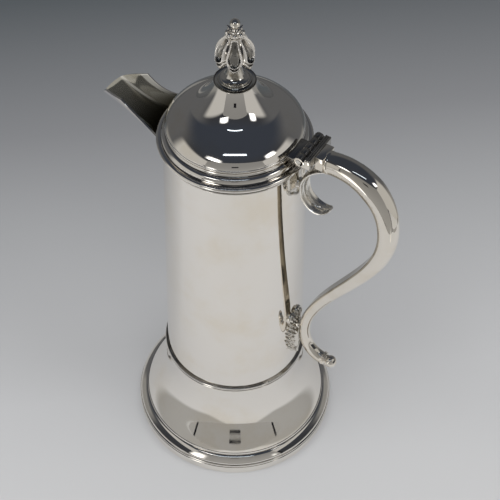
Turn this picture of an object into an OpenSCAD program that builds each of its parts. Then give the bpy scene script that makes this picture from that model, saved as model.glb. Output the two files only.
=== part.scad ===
// Wine flagon: a tapering silver drum on a spreading foot, with a beak spout, a scroll handle
// and a domed lid that turns on a knuckle hinge.
// Millimetres, +Z up. The origin lies on the drum's axis, in the plane that the foot stands on.
// The handle points along +X and the spout along -X.

/* [Drum] */
// Outer radius of the drum at its mouth
drum_top_r = 37.6; // [35:0.2:40]
// Outer radius of the drum at the girdle
drum_low_r = 42.8; // [40:0.2:46]
// Height of the drum from the girdle to its mouth
drum_h = 174.5; // [160:0.5:190]
// Gauge of the sheet that the drum, base, spout and dome are raised from
sheet = 1; // [0.8:0.1:1.4]
// Radius of each of the two reeds of the girdle wire
reed_r = 1; // [0.6:0.1:1.4]
// Height of the floor's upper face above the girdle
floor_rise = 3; // [2:0.5:8]

/* [Base and foot] */
// Height of the spreading base from the foot to the girdle
base_h = 50.6; // [44:0.2:58]
// Outer radius of the spreading base where it stands on the foot
base_r = 57; // [52:0.5:60]
// Height of the straight collar at the top of the base, under the girdle
base_collar_h = 4; // [3:0.5:8]
// How far the base's side falls straight before it flares
base_drop = 26; // [16:0.5:30]
// How far the base's side rises straight from the foot before it flares in
base_steep = 9; // [4:0.5:14]
// How far the foot's plinth band stands out from the base
foot_proud = 7.2; // [6:0.2:10]
// Height of the foot's plinth band
plinth_h = 6.5; // [4:0.5:8]
// Height of the whole foot
foot_h = 14.9; // [13.5:0.1:18]
// Thickness of the foot ring behind its mouldings
foot_wall = 1.8; // [1.4:0.1:2.6]
// Radius of the reed over the plinth band
foot_reed_r = 1; // [0.6:0.1:1.2]
// Height of the fillet at the top of the foot
foot_fillet_h = 1.2; // [0.8:0.1:1.6]

/* [Rim] */
// How far the rim moulding stands out from the drum's mouth
rim_proud = 3.4; // [2.6:0.1:5]
// Height of the rim moulding
rim_h = 5.6; // [5:0.2:9]
// Radius of the rim's rounded nose
rim_nose_r = 1.4; // [1:0.1:1.8]
// How far the fillet under the nose stands out from the drum
rim_fillet_proud = 1.2; // [0.8:0.1:1.6]

/* [Spout] */
// Angle from the spout's centre line to where its edge leaves the rim
spout_spread = 44; // [36:1:48]
// How far below the mouth the spout's keel leaves the drum
spout_h = 40.5; // [34:0.5:52]
// How far the lip's corners stand out from the drum's mouth
lip_corner_out = 26.2; // [20:0.2:34]
// Half the width between the lip's corners
lip_half_w = 12.7; // [10:0.1:16]
// Height of the lip's corners above the mouth
lip_corner_rise = 1.9; // [-3:0.1:6]
// How far the lip's tip stands out from the drum's mouth
lip_tip_out = 47.8; // [42:0.2:56]
// How far the lip's tip lies below the mouth
lip_tip_drop = 12.5; // [8:0.5:18]
// How far the spout's edge dips between rim and corner
edge_dip = 6.6; // [3:0.2:9]
// How far the spout's edge is drawn in between rim and corner
edge_waist = 3.9; // [1:0.1:6]
// Half the width of the pouring opening in the drum's wall
pour_half_w = 13; // [8:0.5:16]
// Height of the pouring opening
pour_h = 22; // [14:1:26]

/* [Handle] */
// How far the handle's centre line stands out from the drum's mouth at its widest
handle_reach = 54.1; // [46:0.1:66]
// How far below the mouth the handle is widest
handle_belly_drop = 26.5; // [18:0.5:38]
// Height above the girdle at which the handle comes closest to the drum
handle_foot_rise = 42; // [32:0.5:54]
// Gap between the drum and the handle at that height
handle_foot_gap = 4.6; // [3:0.2:8]
// How far the tail's end stands out from that closest point
tail_out = 14.4; // [10:0.2:20]
// How far the tail's end lies below that closest point
tail_drop = 20.8; // [15:0.2:26]
// Half the handle's thickness where it leaves the hinge
handle_start_half = 5.6; // [4.6:0.1:6.4]
// Half the handle's thickness over its shoulder
handle_shoulder_half = 6.4; // [5:0.1:7.5]
// Half the handle's thickness at its widest reach
handle_belly_half = 5.5; // [4.5:0.1:6.5]
// Half the handle's thickness at its closest point to the drum
handle_foot_half = 3.4; // [2.8:0.1:4.2]
// Half the handle's thickness at the tail's end
tail_half = 3.6; // [2.8:0.1:4.2]
// Thickness of the flat strip that closes the handle's inner side
strip_t = 1.2; // [0.8:0.1:1.6]
// Radius of the bud at the tail's end
bud_r = 4.4; // [3.8:0.1:5.4]
// Thickness of the crescent scroll at its back
scroll_t = 6.8; // [5:0.1:8]
// How far the scroll's tip stands out from its back
scroll_out = 17; // [14:0.2:20]
// How far the scroll's tip lies below the middle of its back
scroll_drop = 10; // [7:0.2:13]
// Width of the scroll at its tip
scroll_tip_w = 4; // [2:0.2:7]
// Radius of the bosses that join handle and drum
boss_r = 3; // [2.4:0.1:3.4]
// Length of the boss between the drum and the scroll's back
boss_len = 3.6; // [2.6:0.1:5]
// Thickness of the mount plates on the drum
mount_t = 1.4; // [1:0.1:2]
// Radius of the drop-shaped upper mount
drop_r = 9; // [7:0.5:11]
// Half the width of the lower leaf mount over its wings
leaf_half_w = 11.4; // [9:0.2:13]
// Half the width of the lower leaf mount below its wings
leaf_side = 7; // [5.5:0.1:8]
// Radius of the lower mount's scrolled wings
wing_r = 4.6; // [3.6:0.1:5.4]
// Height of the lower mount's top above its boss
leaf_top_h = 12; // [8:0.5:16]
// Height of the lower leaf mount
leaf_h = 40; // [34:0.5:42]

/* [Hinge] */
// How far the hinge pin lies outside the rim
hinge_out = 2.6; // [2:0.1:5]
// Height of the hinge pin above the lid's stepped edge
hinge_lift = 3.1; // [2.6:0.1:5]
// Width of the hinge over its five knuckles
hinge_w = 22; // [18:0.5:26]
// Outer radius of the knuckles
knuckle_r = 2.7; // [2.3:0.1:3.1]
// Radius of the hinge pin
pin_r = 1.2; // [0.9:0.1:1.5]
// Running clearance round the pin in the lid's knuckles
pin_play = 0.05; // [0.02:0.01:0.1]
// Gap between the hinge's moving faces
knuckle_gap = 0.3; // [0.2:0.05:0.5]
// Length of the handle's hinge leaf from the pin to its seam
leaf_len = 6.4; // [5:0.2:9]
// Length of the tapering end plate between hinge leaf and handle
end_plate_len = 4.6; // [3:0.2:7]

/* [Lid] */
// Gap between the closed lid and the rim it rests on
lid_gap = 0.3; // [0.2:0.05:0.5]
// How far the lid's stepped edge lies inside the rim
lid_inset = 2.4; // [1.8:0.1:3.2]
// Height of the lid's stepped edge
lid_edge_h = 8; // [7:0.2:10]
// How far the dome lies inside the lid's stepped edge
dome_inset = 2.6; // [2.2:0.1:3.2]
// Radius of the bead on which the dome stands
dome_bead_r = 0.8; // [0.5:0.1:1]
// How far the dome's side rises straight from its edge
dome_swell = 2.4; // [1:0.1:3.4]
// Radius at which the swelling dome turns into the hollow sweep
dome_turn_r = 22.6; // [21:0.1:25]
// Height of that turn above the lid's edge
dome_turn_h = 11.2; // [10:0.1:12.4]
// How many degrees the dome's shoulder slopes where it turns
dome_lean = 20; // [14:1:28]
// Height of the dome above the lid's edge
dome_h = 27.6; // [25:0.2:31]
// Depth of the bezel under the lid
bezel_h = 4; // [2:0.5:5]
// Gap between the bezel and the drum's inside at the mouth
bezel_gap = 0.5; // [0.3:0.1:0.8]
// How far the bezel is drawn in towards its lower edge
bezel_taper = 1.2; // [1:0.1:2]

/* [Finial] */
// Radius of the dished collar on the dome
collar_r = 10.8; // [9.4:0.1:12]
// Height of the collar's outer edge
collar_edge_h = 0.8; // [0.6:0.1:1.4]
// Height of the collar at the pedestal
collar_h = 1.8; // [1.5:0.1:3.2]
// Radius of the pedestal's foot on the collar
pedestal_r = 7.3; // [6:0.1:8]
// Height of the spool-shaped pedestal
pedestal_h = 11.4; // [9:0.2:13]
// Radius of the pedestal's neck
neck_r = 3.2; // [2.6:0.1:4]
// Number of leaves round the finial
leaf_count = 6; // [5:1:8]
// Greatest radius of the leaves
leaf_r = 11; // [9:0.1:12]
// Height of the leaves from the pedestal to the crown
leaves_h = 14.6; // [12:0.2:18]
// How far the leaves' tips droop below the pedestal's top
leaf_droop = 2; // [1.4:0.1:4]
// Depth of the furrows between the leaves
furrow = 3.4; // [1:0.1:4]
// Depth of the hollow in each leaf's face
leaf_scoop = 1; // [0.2:0.1:1.2]
// Number of beads round the crown
bead_count = 8; // [6:1:8]
// Radius of each bead
bead_r = 1.2; // [0.9:0.1:1.25]
// Radius of the ring that the beads stand on
bead_ring_r = 3.4; // [3.3:0.1:4]
// Height of the crown from the leaves to the ball
crown_h = 4.4; // [3.4:0.1:6]
// Radius of the ball at the top
ball_r = 2.6; // [2.2:0.1:3.4]
// Radius of the stud that holds the finial
stud_r = 1.6; // [1.2:0.1:2]
// Radius of the nut under the dome
nut_r = 4.5; // [3.6:0.1:5.6]
// Thickness of the nut
nut_h = 2.4; // [1.6:0.1:4]

/* [Hidden] */
$fn = 96;
// Facets of small rounds
fine = 48;
// Overshoot of cutting tools past the faces that they cut
over = 1;
silver = "silver";
bright_silver = "gainsboro";
shaded_silver = "darkgray";

// Heights and radii that follow from the sizes above
girdle_z = foot_h + base_h;
drum_top_z = girdle_z + drum_h;
foot_r = base_r + foot_proud;
rim_r = drum_top_r + rim_proud;
rim_z = drum_top_z - rim_h;
lid_r = rim_r - lid_inset;
lid_z = drum_top_z + lid_gap;
dome_r = lid_r - dome_inset;
dome_z = lid_z + lid_edge_h;
seat_z = dome_z + dome_h;
hinge_x = rim_r + hinge_out;
hinge_z = dome_z + hinge_lift;
seam_x = hinge_x + leaf_len;
handle_x = seam_x + end_plate_len;
knuckle_w = (hinge_w - 4 * knuckle_gap) / 5;

function lerp(a, b, t) = a + (b - a) * t;
function unit(v) = v / norm(v);
function reverse(list) = [for (i = [len(list) - 1 : -1 : 0]) list[i]];
// Outer radius of the drum at a height
function drum_r(z) = lerp(drum_low_r, drum_top_r, (z - girdle_z) / drum_h);
// Point on a cubic curve, and the direction in which the curve runs there
function bezier(p, t) =
  (1 - t) ^ 3 * p[0] + 3 * t * (1 - t) ^ 2 * p[1] + 3 * t ^ 2 * (1 - t) * p[2] + t ^ 3 * p[3];
function heading(p, t) =
  unit((1 - t) ^ 2 * (p[1] - p[0]) + 2 * t * (1 - t) * (p[2] - p[1]) + t ^ 2 * (p[3] - p[2]));
// Row of points along a cubic curve, moved to its left by an offset
function curve(p, steps, left = 0) = [
  for (i = [0 : steps])
    let (run = heading(p, i / steps))
      bezier(p, i / steps) + left * [-run[1], run[0]]
];

// Closed solid through a row of rings that all have the same number of points; each end is closed
// by a strip of triangles between facing points of its ring
module loft(rings) {
  count = len(rings[0]);
  half = floor(count / 2);
  last = (len(rings) - 1) * count;
  sides = [
    for (a = [0 : count : last - count], i = [0 : count - 1])
      let (k = (i + 1) % count, b = a + count)
        each [[a + i, b + i, a + k], [a + k, b + i, b + k]]
  ];
  end = [
    for (i = [0 : half - 2])
      let (j = count - 1 - i)
        each [[i, i + 1, j], [i + 1, j - 1, j]],
    if (count % 2 == 1)
      [half - 1, half, half + 1]
  ];
  far_end = [for (face = end) [last + face[2], last + face[1], last + face[0]]];
  polyhedron([for (ring = rings) each ring], concat(end, sides, far_end), convexity = 8);
}

// Solid cone of the drum between two heights, drawn in by an inset
module drum_cone(low, high, inset = 0) {
  translate([0, 0, low])
    cylinder(r1 = drum_r(low) - inset, r2 = drum_r(high) - inset, h = high - low);
}

// Drum: a tapering tube of sheet, with the pouring opening cut in its wall behind the spout
module drum() {
  pour_top = rim_z - sheet;
  color(silver) difference() {
    drum_cone(girdle_z, drum_top_z);
    drum_cone(girdle_z - over, drum_top_z + over, sheet);
    rotate([90, 0, -90])
      linear_extrude(drum_low_r + over)
        polygon([[-pour_half_w, pour_top], [pour_half_w, pour_top], [0, pour_top - pour_h]]);
  }
}

// Floor: a disc let into the drum just above the girdle
module vessel_floor() {
  color(shaded_silver)
    drum_cone(girdle_z + floor_rise - sheet, girdle_z + floor_rise, sheet);
}

// Girdle: a double-reeded wire laid over the seam between drum and base
module girdle_wire() {
  reach = 2 * reed_r + over;
  overlap = reed_r / 10;
  color(bright_silver) difference() {
    rotate_extrude()
      for (side = [-1, 1])
        translate([drum_low_r + reed_r / 2, girdle_z + side * (reed_r - overlap)])
          circle(reed_r, $fn = fine);
    drum_cone(girdle_z, girdle_z + reach);
    translate([0, 0, girdle_z - reach])
      cylinder(r = drum_low_r, h = reach);
  }
}

// Guide points of the base's side from the collar down to the foot
base_top = [drum_low_r, girdle_z - base_collar_h];
base_foot = [base_r, foot_h];
base_guide = [base_top, base_top - [0, base_drop], base_foot + [0, base_steep], base_foot];
base_steps = 12;

// Base: a bell-shaped skirt of sheet from the girdle to the foot
module base_skirt() {
  inward = [sheet, 0];
  side = curve(base_guide, base_steps);
  outside = concat([[drum_low_r, girdle_z]], side);
  color(silver) rotate_extrude()
    polygon(concat(outside, reverse([for (p = outside) p - inward])));
}

// Foot: a cast ring with a plain plinth band, a reed, a broad quarter round and a fillet
module foot_ring() {
  reed_top = plinth_h + 2 * foot_reed_r;
  round_r = foot_h - reed_top - foot_fillet_h;
  shoulder_r = foot_r - round_r;
  inner_r = base_r - sheet - foot_wall;
  fillet_r = max(shoulder_r, base_r + foot_fillet_h / 2);
  color(bright_silver) rotate_extrude() difference() {
    union() {
      translate([inner_r, 0])
        square([foot_r - inner_r, plinth_h]);
      translate([inner_r, plinth_h])
        square([foot_r - foot_reed_r - inner_r, 2 * foot_reed_r]);
      translate([foot_r - foot_reed_r, plinth_h + foot_reed_r])
        circle(foot_reed_r, $fn = fine);
      intersection() {
        translate([shoulder_r, reed_top])
          circle(round_r);
        translate([shoulder_r, reed_top])
          square(round_r);
      }
      translate([inner_r, reed_top])
        square([shoulder_r - inner_r, round_r]);
      translate([inner_r, foot_h - foot_fillet_h])
        square([fillet_r - inner_r, foot_fillet_h]);
    }
    polygon([
      [inner_r - over, -over],
      [foot_r - foot_wall, -over],
      [foot_r - foot_wall, reed_top - foot_reed_r],
      [shoulder_r, foot_h - foot_fillet_h - foot_wall],
      [inner_r - over, foot_h - foot_fillet_h - foot_wall]
    ]);
  }
}

// Rim: a moulded wire round the mouth, with a rounded nose over a hollow and a fillet
module rim_moulding() {
  low_r = drum_r(rim_z);
  color(bright_silver) difference() {
    rotate_extrude() union() {
      translate([low_r - sheet, rim_z])
        square([rim_fillet_proud + sheet, rim_h - rim_nose_r]);
      translate([drum_top_r - sheet, drum_top_z - 2 * rim_nose_r])
        square([rim_proud - rim_nose_r + sheet, 2 * rim_nose_r]);
      translate([rim_r - rim_nose_r, drum_top_z - rim_nose_r])
        circle(rim_nose_r, $fn = fine);
    }
    drum_cone(rim_z - over, drum_top_z + over);
  }
}

// Spout: a V-shaped beak whose upper edges run from the rim to the lip's corners and whose keel
// runs from the drum to the lip's tip; t goes from the drum to the lip and s from edge to edge
function spout_edge(t) = [
  lerp(drum_top_r * cos(spout_spread), drum_top_r + lip_corner_out, t),
  lerp(drum_top_r * sin(spout_spread), lip_half_w, t) - 4 * edge_waist * t * (1 - t),
  drum_top_z + lerp(-sheet, lip_corner_rise, t) - 4 * edge_dip * t * (1 - t)
];
spout_root_z = drum_top_z - spout_h;
spout_root = [drum_r(spout_root_z) - 2 * sheet, spout_root_z];
spout_tip = [drum_top_r + lip_tip_out, drum_top_z - lip_tip_drop];
spout_run = spout_tip[0] - spout_root[0];
spout_keel = [
  spout_root,
  spout_root + [spout_run / 4, spout_run / 4],
  spout_tip - [spout_run / 3, spout_run / 16],
  spout_tip
];
// Share of the way from keel to edge, for the section's width, height and reach; each runs from
// nothing at the keel to the whole at the edge, and the keel's fold is softened
function bowed(s, start) = start * s + (1 - start) * s ^ 2;
fold = 0.03;
function soft(s) = (sqrt(s ^ 2 + fold) - sqrt(fold)) / (sqrt(1 + fold) - sqrt(fold));
// Point on the spout's outside, or on its inside when it is drawn in by an inset
function spout_point(t, s, inset) =
  let (
    edge = spout_edge(t) - [0, inset, 0],
    run = heading(spout_keel, t),
    keel = bezier(spout_keel, t) + inset * [-run[1], run[0]],
    wide = bowed(abs(s), 1.3),
    up = bowed(soft(abs(s)), 1.6),
    back = bowed(soft(abs(s)), 0.58)
  )
  [-lerp(keel[0], edge[0], back), sign(s) * edge[1] * wide, lerp(keel[1], edge[2], up)];
spout_steps = 16;
spout_half_steps = 12;
// Level gauge of the spout's walls, which lean at about 45 degrees
spout_wall = sheet * sqrt(2);
function spout_ring(t) =
  let (stations = [for (i = [-spout_half_steps : spout_half_steps]) i / spout_half_steps])
  concat(
    reverse([for (s = stations) spout_point(t, s, 0)]),
    [for (s = stations) spout_point(t, s, spout_wall)]
  );

module spout() {
  color(silver) difference() {
    loft([for (j = [0 : spout_steps]) spout_ring(j / spout_steps)]);
    drum_cone(girdle_z, drum_top_z + rim_h);
    translate([0, 0, rim_z])
      cylinder(r = rim_r, h = 2 * rim_h);
  }
}

// Handle: three curves from the hinge over the shoulder, down to the drum and out to the tail,
// with guide points at shares of each curve's rise, fall and run
flat_share = 0.5;
handle_foot_z = girdle_z + handle_foot_rise;
handle_start = [handle_x, hinge_z + knuckle_r - handle_start_half];
handle_belly = [drum_top_r + handle_reach, drum_top_z - handle_belly_drop];
strip_x = drum_r(handle_foot_z) + handle_foot_gap;
handle_foot = [strip_x + strip_t + handle_foot_half * flat_share, handle_foot_z];
tail_end = handle_foot + [tail_out, -tail_drop];
rise = handle_start[1] - handle_belly[1];
fall = handle_belly[1] - handle_foot[1];
handle_curves = [
  [
    handle_start,
    handle_start + [(handle_belly[0] - handle_start[0]) / 2, rise / 8],
    handle_belly + [0, rise * 0.78],
    handle_belly
  ],
  [handle_belly, handle_belly - [0, fall / 3], handle_foot + [0, fall / 3], handle_foot],
  [handle_foot, handle_foot - [0, tail_drop * 0.68], tail_end - [tail_out * 0.46, 0], tail_end]
];
// Half thickness at stations along the three curves
handle_half = [
  [0, handle_start_half], [0.5, handle_shoulder_half], [1, handle_belly_half],
  [2, handle_foot_half], [3, tail_half]
];
handle_steps = 45;

// Frame of the handle's section at a station: centre, outward direction and half thickness
function handle_frame(q) =
  let (
    leg = min(2, floor(q)),
    at = bezier(handle_curves[leg], q - leg),
    run = heading(handle_curves[leg], q - leg)
  )
  [at, [-run[1], run[0]], lookup(q, handle_half)];
function section_point(frame, side, out) =
  let (at = frame[0] + frame[1] * out)
  [at[0], side, at[1]];
handle_stations = [for (i = [0 : handle_steps]) handle_frame(3 * i / handle_steps)];
// Half the width of the flat side on which the strip lies, and its distance from the centre line
function flat_half(half) = half * cos(asin(flat_share));
function flat_out(half) = -half * flat_share;

// Handle back: the rounded D-shaped member
module handle_back() {
  low = -asin(flat_share);
  sides = 14;
  color(silver) loft([
    for (frame = handle_stations)
      [
        for (i = [0 : sides])
          let (a = lerp(low, 180 - low, i / sides))
            section_point(frame, frame[2] * cos(a), frame[2] * sin(a))
      ]
  ]);
}

// Handle strip: the flat band that closes the hollow side of the back
module handle_strip() {
  color(bright_silver) loft([
    for (frame = handle_stations)
      let (
        side = flat_half(frame[2]),
        out = flat_out(frame[2])
      )
      [
        section_point(frame, side, out - strip_t),
        section_point(frame, side, out),
        section_point(frame, -side, out),
        section_point(frame, -side, out - strip_t)
      ]
  ]);
}

// End plate: a block that tapers from the wide hinge leaf to the handle's back
module handle_end_plate() {
  frame = handle_frame(0);
  low = flat_out(handle_start_half);
  color(silver) loft([
    [
      for (p = [[-1, -1], [1, -1], [1, 1], [-1, 1]])
        [seam_x, p[0] * hinge_w / 2, hinge_z + p[1] * knuckle_r]
    ],
    [
      for (p = [[-1, low], [1, low], [1, handle_start_half], [-1, handle_start_half]])
        section_point(frame, p[0] * handle_start_half, p[1])
    ]
  ]);
}

// Place of one of the five knuckles along the pin, counted from the near end
module at_knuckle(index) {
  translate([hinge_x, -hinge_w / 2 + index * (knuckle_w + knuckle_gap), hinge_z])
    rotate([-90, 0, 0])
      children();
}

// Rod along the hinge's axis, longer than the hinge by an overshoot at each end
module hinge_rod(r, past = 0) {
  translate([hinge_x, -hinge_w / 2 - past, hinge_z])
    rotate([-90, 0, 0])
      cylinder(r = r, h = hinge_w + 2 * past, $fn = fine);
}

// Handle's hinge leaf: a flat bar whose three knuckles hold the pin
module handle_hinge_leaf() {
  bar_x = hinge_x + knuckle_r + knuckle_gap;
  color(silver) difference() {
    union() {
      translate([bar_x, -hinge_w / 2, hinge_z - knuckle_r])
        cube([seam_x - bar_x, hinge_w, 2 * knuckle_r]);
      for (index = [0, 2, 4])
        at_knuckle(index) {
          cylinder(r = knuckle_r, h = knuckle_w);
          translate([0, -knuckle_r, 0])
            cube([seam_x - hinge_x, 2 * knuckle_r, knuckle_w]);
        }
    }
    hinge_rod(pin_r, over);
  }
}

// Hinge pin: a drawn wire fast in the handle's knuckles
module hinge_pin() {
  color(shaded_silver)
    hinge_rod(pin_r);
}

// Crescent scroll: it carries on the strip's line under the hinge, rests its back on the drum's
// mount and ends in a narrow tip
scroll_z = rim_z - drop_r;
scroll_back_x = drum_r(scroll_z) + boss_len;
module upper_scroll() {
  frame = handle_frame(0);
  run = heading(handle_curves[0], 0);
  start = frame[0] + frame[1] * flat_out(handle_start_half);
  end = start - frame[1] * strip_t;
  half_w = flat_half(handle_start_half);
  back_high = [scroll_back_x, scroll_z + boss_r];
  back_low = [scroll_back_x, scroll_z - boss_r];
  tip = [scroll_back_x + scroll_out, scroll_z - scroll_drop];
  waist = [scroll_back_x + scroll_t, scroll_z + boss_r];
  span = start - back_high;
  hang = [scroll_out / 2, scroll_drop];
  front_low = tip[1] - scroll_drop;
  color(silver) intersection() {
    translate([0, half_w, 0])
      rotate([90, 0, 0])
        linear_extrude(2 * half_w)
          polygon(concat(
            curve([start, start - run * span[0] / 2, back_high + [0, span[1] / 2], back_high], 10),
            curve([back_low, back_low - [0, hang[1]], tip - hang, tip], 10),
            curve([tip, tip - [hang[0], 0], waist - [0, hang[1]], waist], 8),
            curve([waist, waist + [0, span[1] / 3], end - run * span[0] / 2, end], 8)
          ));
    rotate([90, 0, 90])
      linear_extrude(handle_x + scroll_out)
        polygon([
          [-half_w, start[1] + over], [-half_w, back_high[1]], [-scroll_tip_w / 2, front_low],
          [scroll_tip_w / 2, front_low], [half_w, back_high[1]], [half_w, start[1] + over]
        ]);
  }
}

// Plate of a mount that follows the drum's side, from an outline seen along the handle
module on_drum(low, high) {
  intersection() {
    difference() {
      drum_cone(low, high, -mount_t);
      drum_cone(low - over, high + over);
    }
    rotate([90, 0, 90])
      linear_extrude(drum_low_r + mount_t + over)
        children();
  }
}

// Upper mount: a drop-shaped plate under the rim with a boss for the scroll
module upper_handle_mount() {
  color(bright_silver) {
    on_drum(scroll_z - drop_r - over, rim_z)
      translate([0, scroll_z]) {
        circle(drop_r);
        translate([-drop_r, 0])
          square([2 * drop_r, drop_r]);
      }
    difference() {
      translate([0, 0, scroll_z])
        rotate([0, 90, 0])
          cylinder(r = boss_r, h = scroll_back_x, $fn = fine);
      drum_cone(scroll_z - drop_r, rim_z);
    }
  }
}

// Lower mount: a cast leaf with two scrolled wings and a boss that carries the handle
module lower_handle_mount() {
  top_z = handle_foot_z + leaf_top_h;
  tip_z = top_z - leaf_h;
  wing_z = top_z - wing_r;
  edge = curve([
    [0, tip_z], [leaf_side, tip_z + leaf_side], [leaf_side, handle_foot_z], [leaf_side, wing_z]
  ], 8);
  color(bright_silver) {
    on_drum(tip_z - over, top_z + over) {
      for (hand = [-1, 1])
        translate([hand * (leaf_half_w - wing_r), wing_z])
          circle(wing_r, $fn = fine);
      polygon(concat(edge, [[0, wing_z + wing_r / 2]], reverse([for (p = edge) [-p[0], p[1]]])));
    }
    difference() {
      translate([0, 0, handle_foot_z])
        rotate([0, 90, 0])
          cylinder(r = boss_r, h = handle_foot[0], $fn = fine);
      drum_cone(tip_z, top_z);
      handle_strip();
      handle_back();
    }
  }
}

// Bud at the tail's end: a collar, a waist and a rounded bud on the handle's own line
module tail_bud() {
  run = heading(handle_curves[2], 1);
  collar_len = bud_r / 3;
  waist_r = bud_r * 0.8;
  centre = bud_r * 1.3;
  color(bright_silver)
    translate([tail_end[0], 0, tail_end[1]])
      rotate([0, 90 - atan2(run[1], run[0]), 0])
        rotate_extrude() union() {
          square([bud_r, collar_len]);
          square([waist_r, centre]);
          intersection() {
            translate([0, centre])
              circle(bud_r);
            translate([0, collar_len])
              square([bud_r, 2 * bud_r]);
          }
        }
}

// Guide points of the dome's profile: a swelling side and a hollow sweep up to the finial's seat
seat_r = collar_r - sheet / 2;
dome_foot = [dome_r, dome_z];
dome_turn = [dome_turn_r, dome_z + dome_turn_h];
dome_seat = [seat_r, seat_z];
turn_run = [-cos(dome_lean), sin(dome_lean)];
swell_guide = [
  dome_foot,
  dome_foot + [0, dome_swell],
  dome_turn - turn_run * norm(dome_turn - dome_foot) * 0.42,
  dome_turn
];
sweep_guide = [
  dome_turn,
  dome_turn + turn_run * norm(dome_seat - dome_turn) * 0.15,
  dome_seat + [(dome_turn[0] - seat_r) * 0.18, (dome_turn[1] - seat_z) * 0.45],
  dome_seat
];
dome_steps = 10;
function dome_side(inset) =
  concat(curve(swell_guide, dome_steps, inset), curve(sweep_guide, dome_steps, inset));

// Lid dome: a raised cover with a flat seat at the top, pierced for the finial's stud
module lid_dome() {
  under_z = seat_z - sheet;
  inside = [for (p = dome_side(sheet)) if (p[1] < under_z) p];
  color(silver) rotate_extrude()
    polygon(concat(
      dome_side(0),
      [[stud_r, seat_z], [stud_r, under_z], [seat_r - sheet, under_z]],
      reverse(inside)
    ));
}

// Lid edge: a stepped ring under the dome with a flange, a quarter round, a band and a bead
module lid_edge() {
  flange_h = dome_bead_r;
  band_r = dome_r - dome_bead_r / 2;
  round_r = lid_r - band_r;
  inner_r = dome_r - 2 * sheet;
  color(bright_silver) rotate_extrude() union() {
    translate([inner_r, lid_z])
      square([lid_r - inner_r, flange_h]);
    intersection() {
      translate([band_r, lid_z + flange_h])
        circle(round_r, $fn = fine);
      translate([inner_r, lid_z + flange_h])
        square([lid_r - inner_r, round_r]);
    }
    translate([inner_r, lid_z])
      square([band_r - inner_r, lid_edge_h]);
    translate([band_r, dome_z - dome_bead_r])
      circle(dome_bead_r, $fn = fine);
  }
}

// Lid bezel: a tapering collar that drops into the drum's mouth
module lid_bezel() {
  top_r = drum_top_r - sheet - bezel_gap;
  low_r = top_r - bezel_taper;
  color(silver) difference() {
    translate([0, 0, lid_z - bezel_h])
      cylinder(r1 = low_r, r2 = top_r, h = bezel_h);
    translate([0, 0, lid_z - bezel_h - over])
      cylinder(r = low_r - sheet, h = bezel_h + 2 * over);
  }
}

// Lid's hinge leaf: a plate on the lid's edge with two knuckles between the handle's three
module lid_hinge_leaf() {
  root_x = dome_r - 2 * sheet;
  end_x = hinge_x - knuckle_r - knuckle_gap;
  low_z = dome_z - dome_bead_r;
  web = hinge_x - end_x + knuckle_gap;
  color(silver) difference() {
    union() {
      translate([root_x, -hinge_w / 2, low_z])
        cube([end_x - root_x, hinge_w, hinge_z - low_z]);
      for (index = [1, 3])
        at_knuckle(index) {
          cylinder(r = knuckle_r, h = knuckle_w);
          translate([-web, 0, 0])
            cube([web, knuckle_r, knuckle_w]);
        }
    }
    hinge_rod(pin_r + pin_play, over);
    lid_edge();
    rotate_extrude()
      polygon(concat(dome_side(0), [[0, seat_z], [0, dome_z]]));
  }
}

// Finial collar: a dished disc on the dome's seat
pedestal_z = seat_z + collar_h;
module finial_collar() {
  edge = [collar_r, seat_z + collar_edge_h];
  ring = [lerp(pedestal_r, collar_r, 0.15), pedestal_z];
  corner = [ring[0], edge[1]];
  color(shaded_silver) rotate_extrude()
    polygon(concat(
      [[stud_r, seat_z], [collar_r, seat_z]],
      curve([edge, lerp(edge, corner, 0.6), lerp(ring, corner, 0.6), ring], 6),
      [[stud_r, pedestal_z]]
    ));
}

// Finial pedestal: a spool-shaped neck between collar and leaves, bored for the stud
leaves_z = pedestal_z + pedestal_h;
stud_top_z = pedestal_z + pedestal_h * 2 / 3;
module finial_pedestal() {
  foot = [pedestal_r, pedestal_z + collar_edge_h / 2];
  neck = [neck_r, leaves_z];
  corner = [neck_r, foot[1]];
  color(silver) rotate_extrude()
    polygon(concat(
      [[stud_r, pedestal_z], [pedestal_r, pedestal_z]],
      curve([foot, lerp(foot, corner, 0.6), lerp(neck, corner, 0.6), neck], 8),
      [[0, leaves_z], [0, stud_top_z], [stud_r, stud_top_z]]
    ));
}

// Finial leaves: drooping lobes round a stem, with hollow faces and furrows between them
leaves_top_z = leaves_z + leaves_h;
leaf_tip = [leaf_r * 0.9, -leaf_droop * 0.8];
furrow_tip = [leaf_tip[0] - furrow, leaf_droop / 2];
leaf_under = [[neck_r, 0], [lerp(neck_r, leaf_r, 0.2), 0], [leaf_r * 0.7, -leaf_droop * 1.2], leaf_tip];
leaf_face = [
  leaf_tip,
  [leaf_r * 1.12, leaves_h / 20],
  [leaf_r, leaves_h * 0.72],
  [bead_ring_r, leaves_h]
];
furrow_face = [
  furrow_tip,
  furrow_tip + [0, leaves_h / 4],
  [lerp(bead_ring_r, furrow_tip[0], 0.6), leaves_h * 0.72],
  [bead_ring_r, leaves_h]
];
leaf_steps = 10;
// How far a direction lies on a leaf: 1 along its middle and 0 in the furrow beside it
function lobe(a) = abs(cos(a * leaf_count / 2)) ^ 0.6;
function leaf_hollow(a) = leaf_scoop * max(0, lobe(a) - 0.8) / 0.2;
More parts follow.
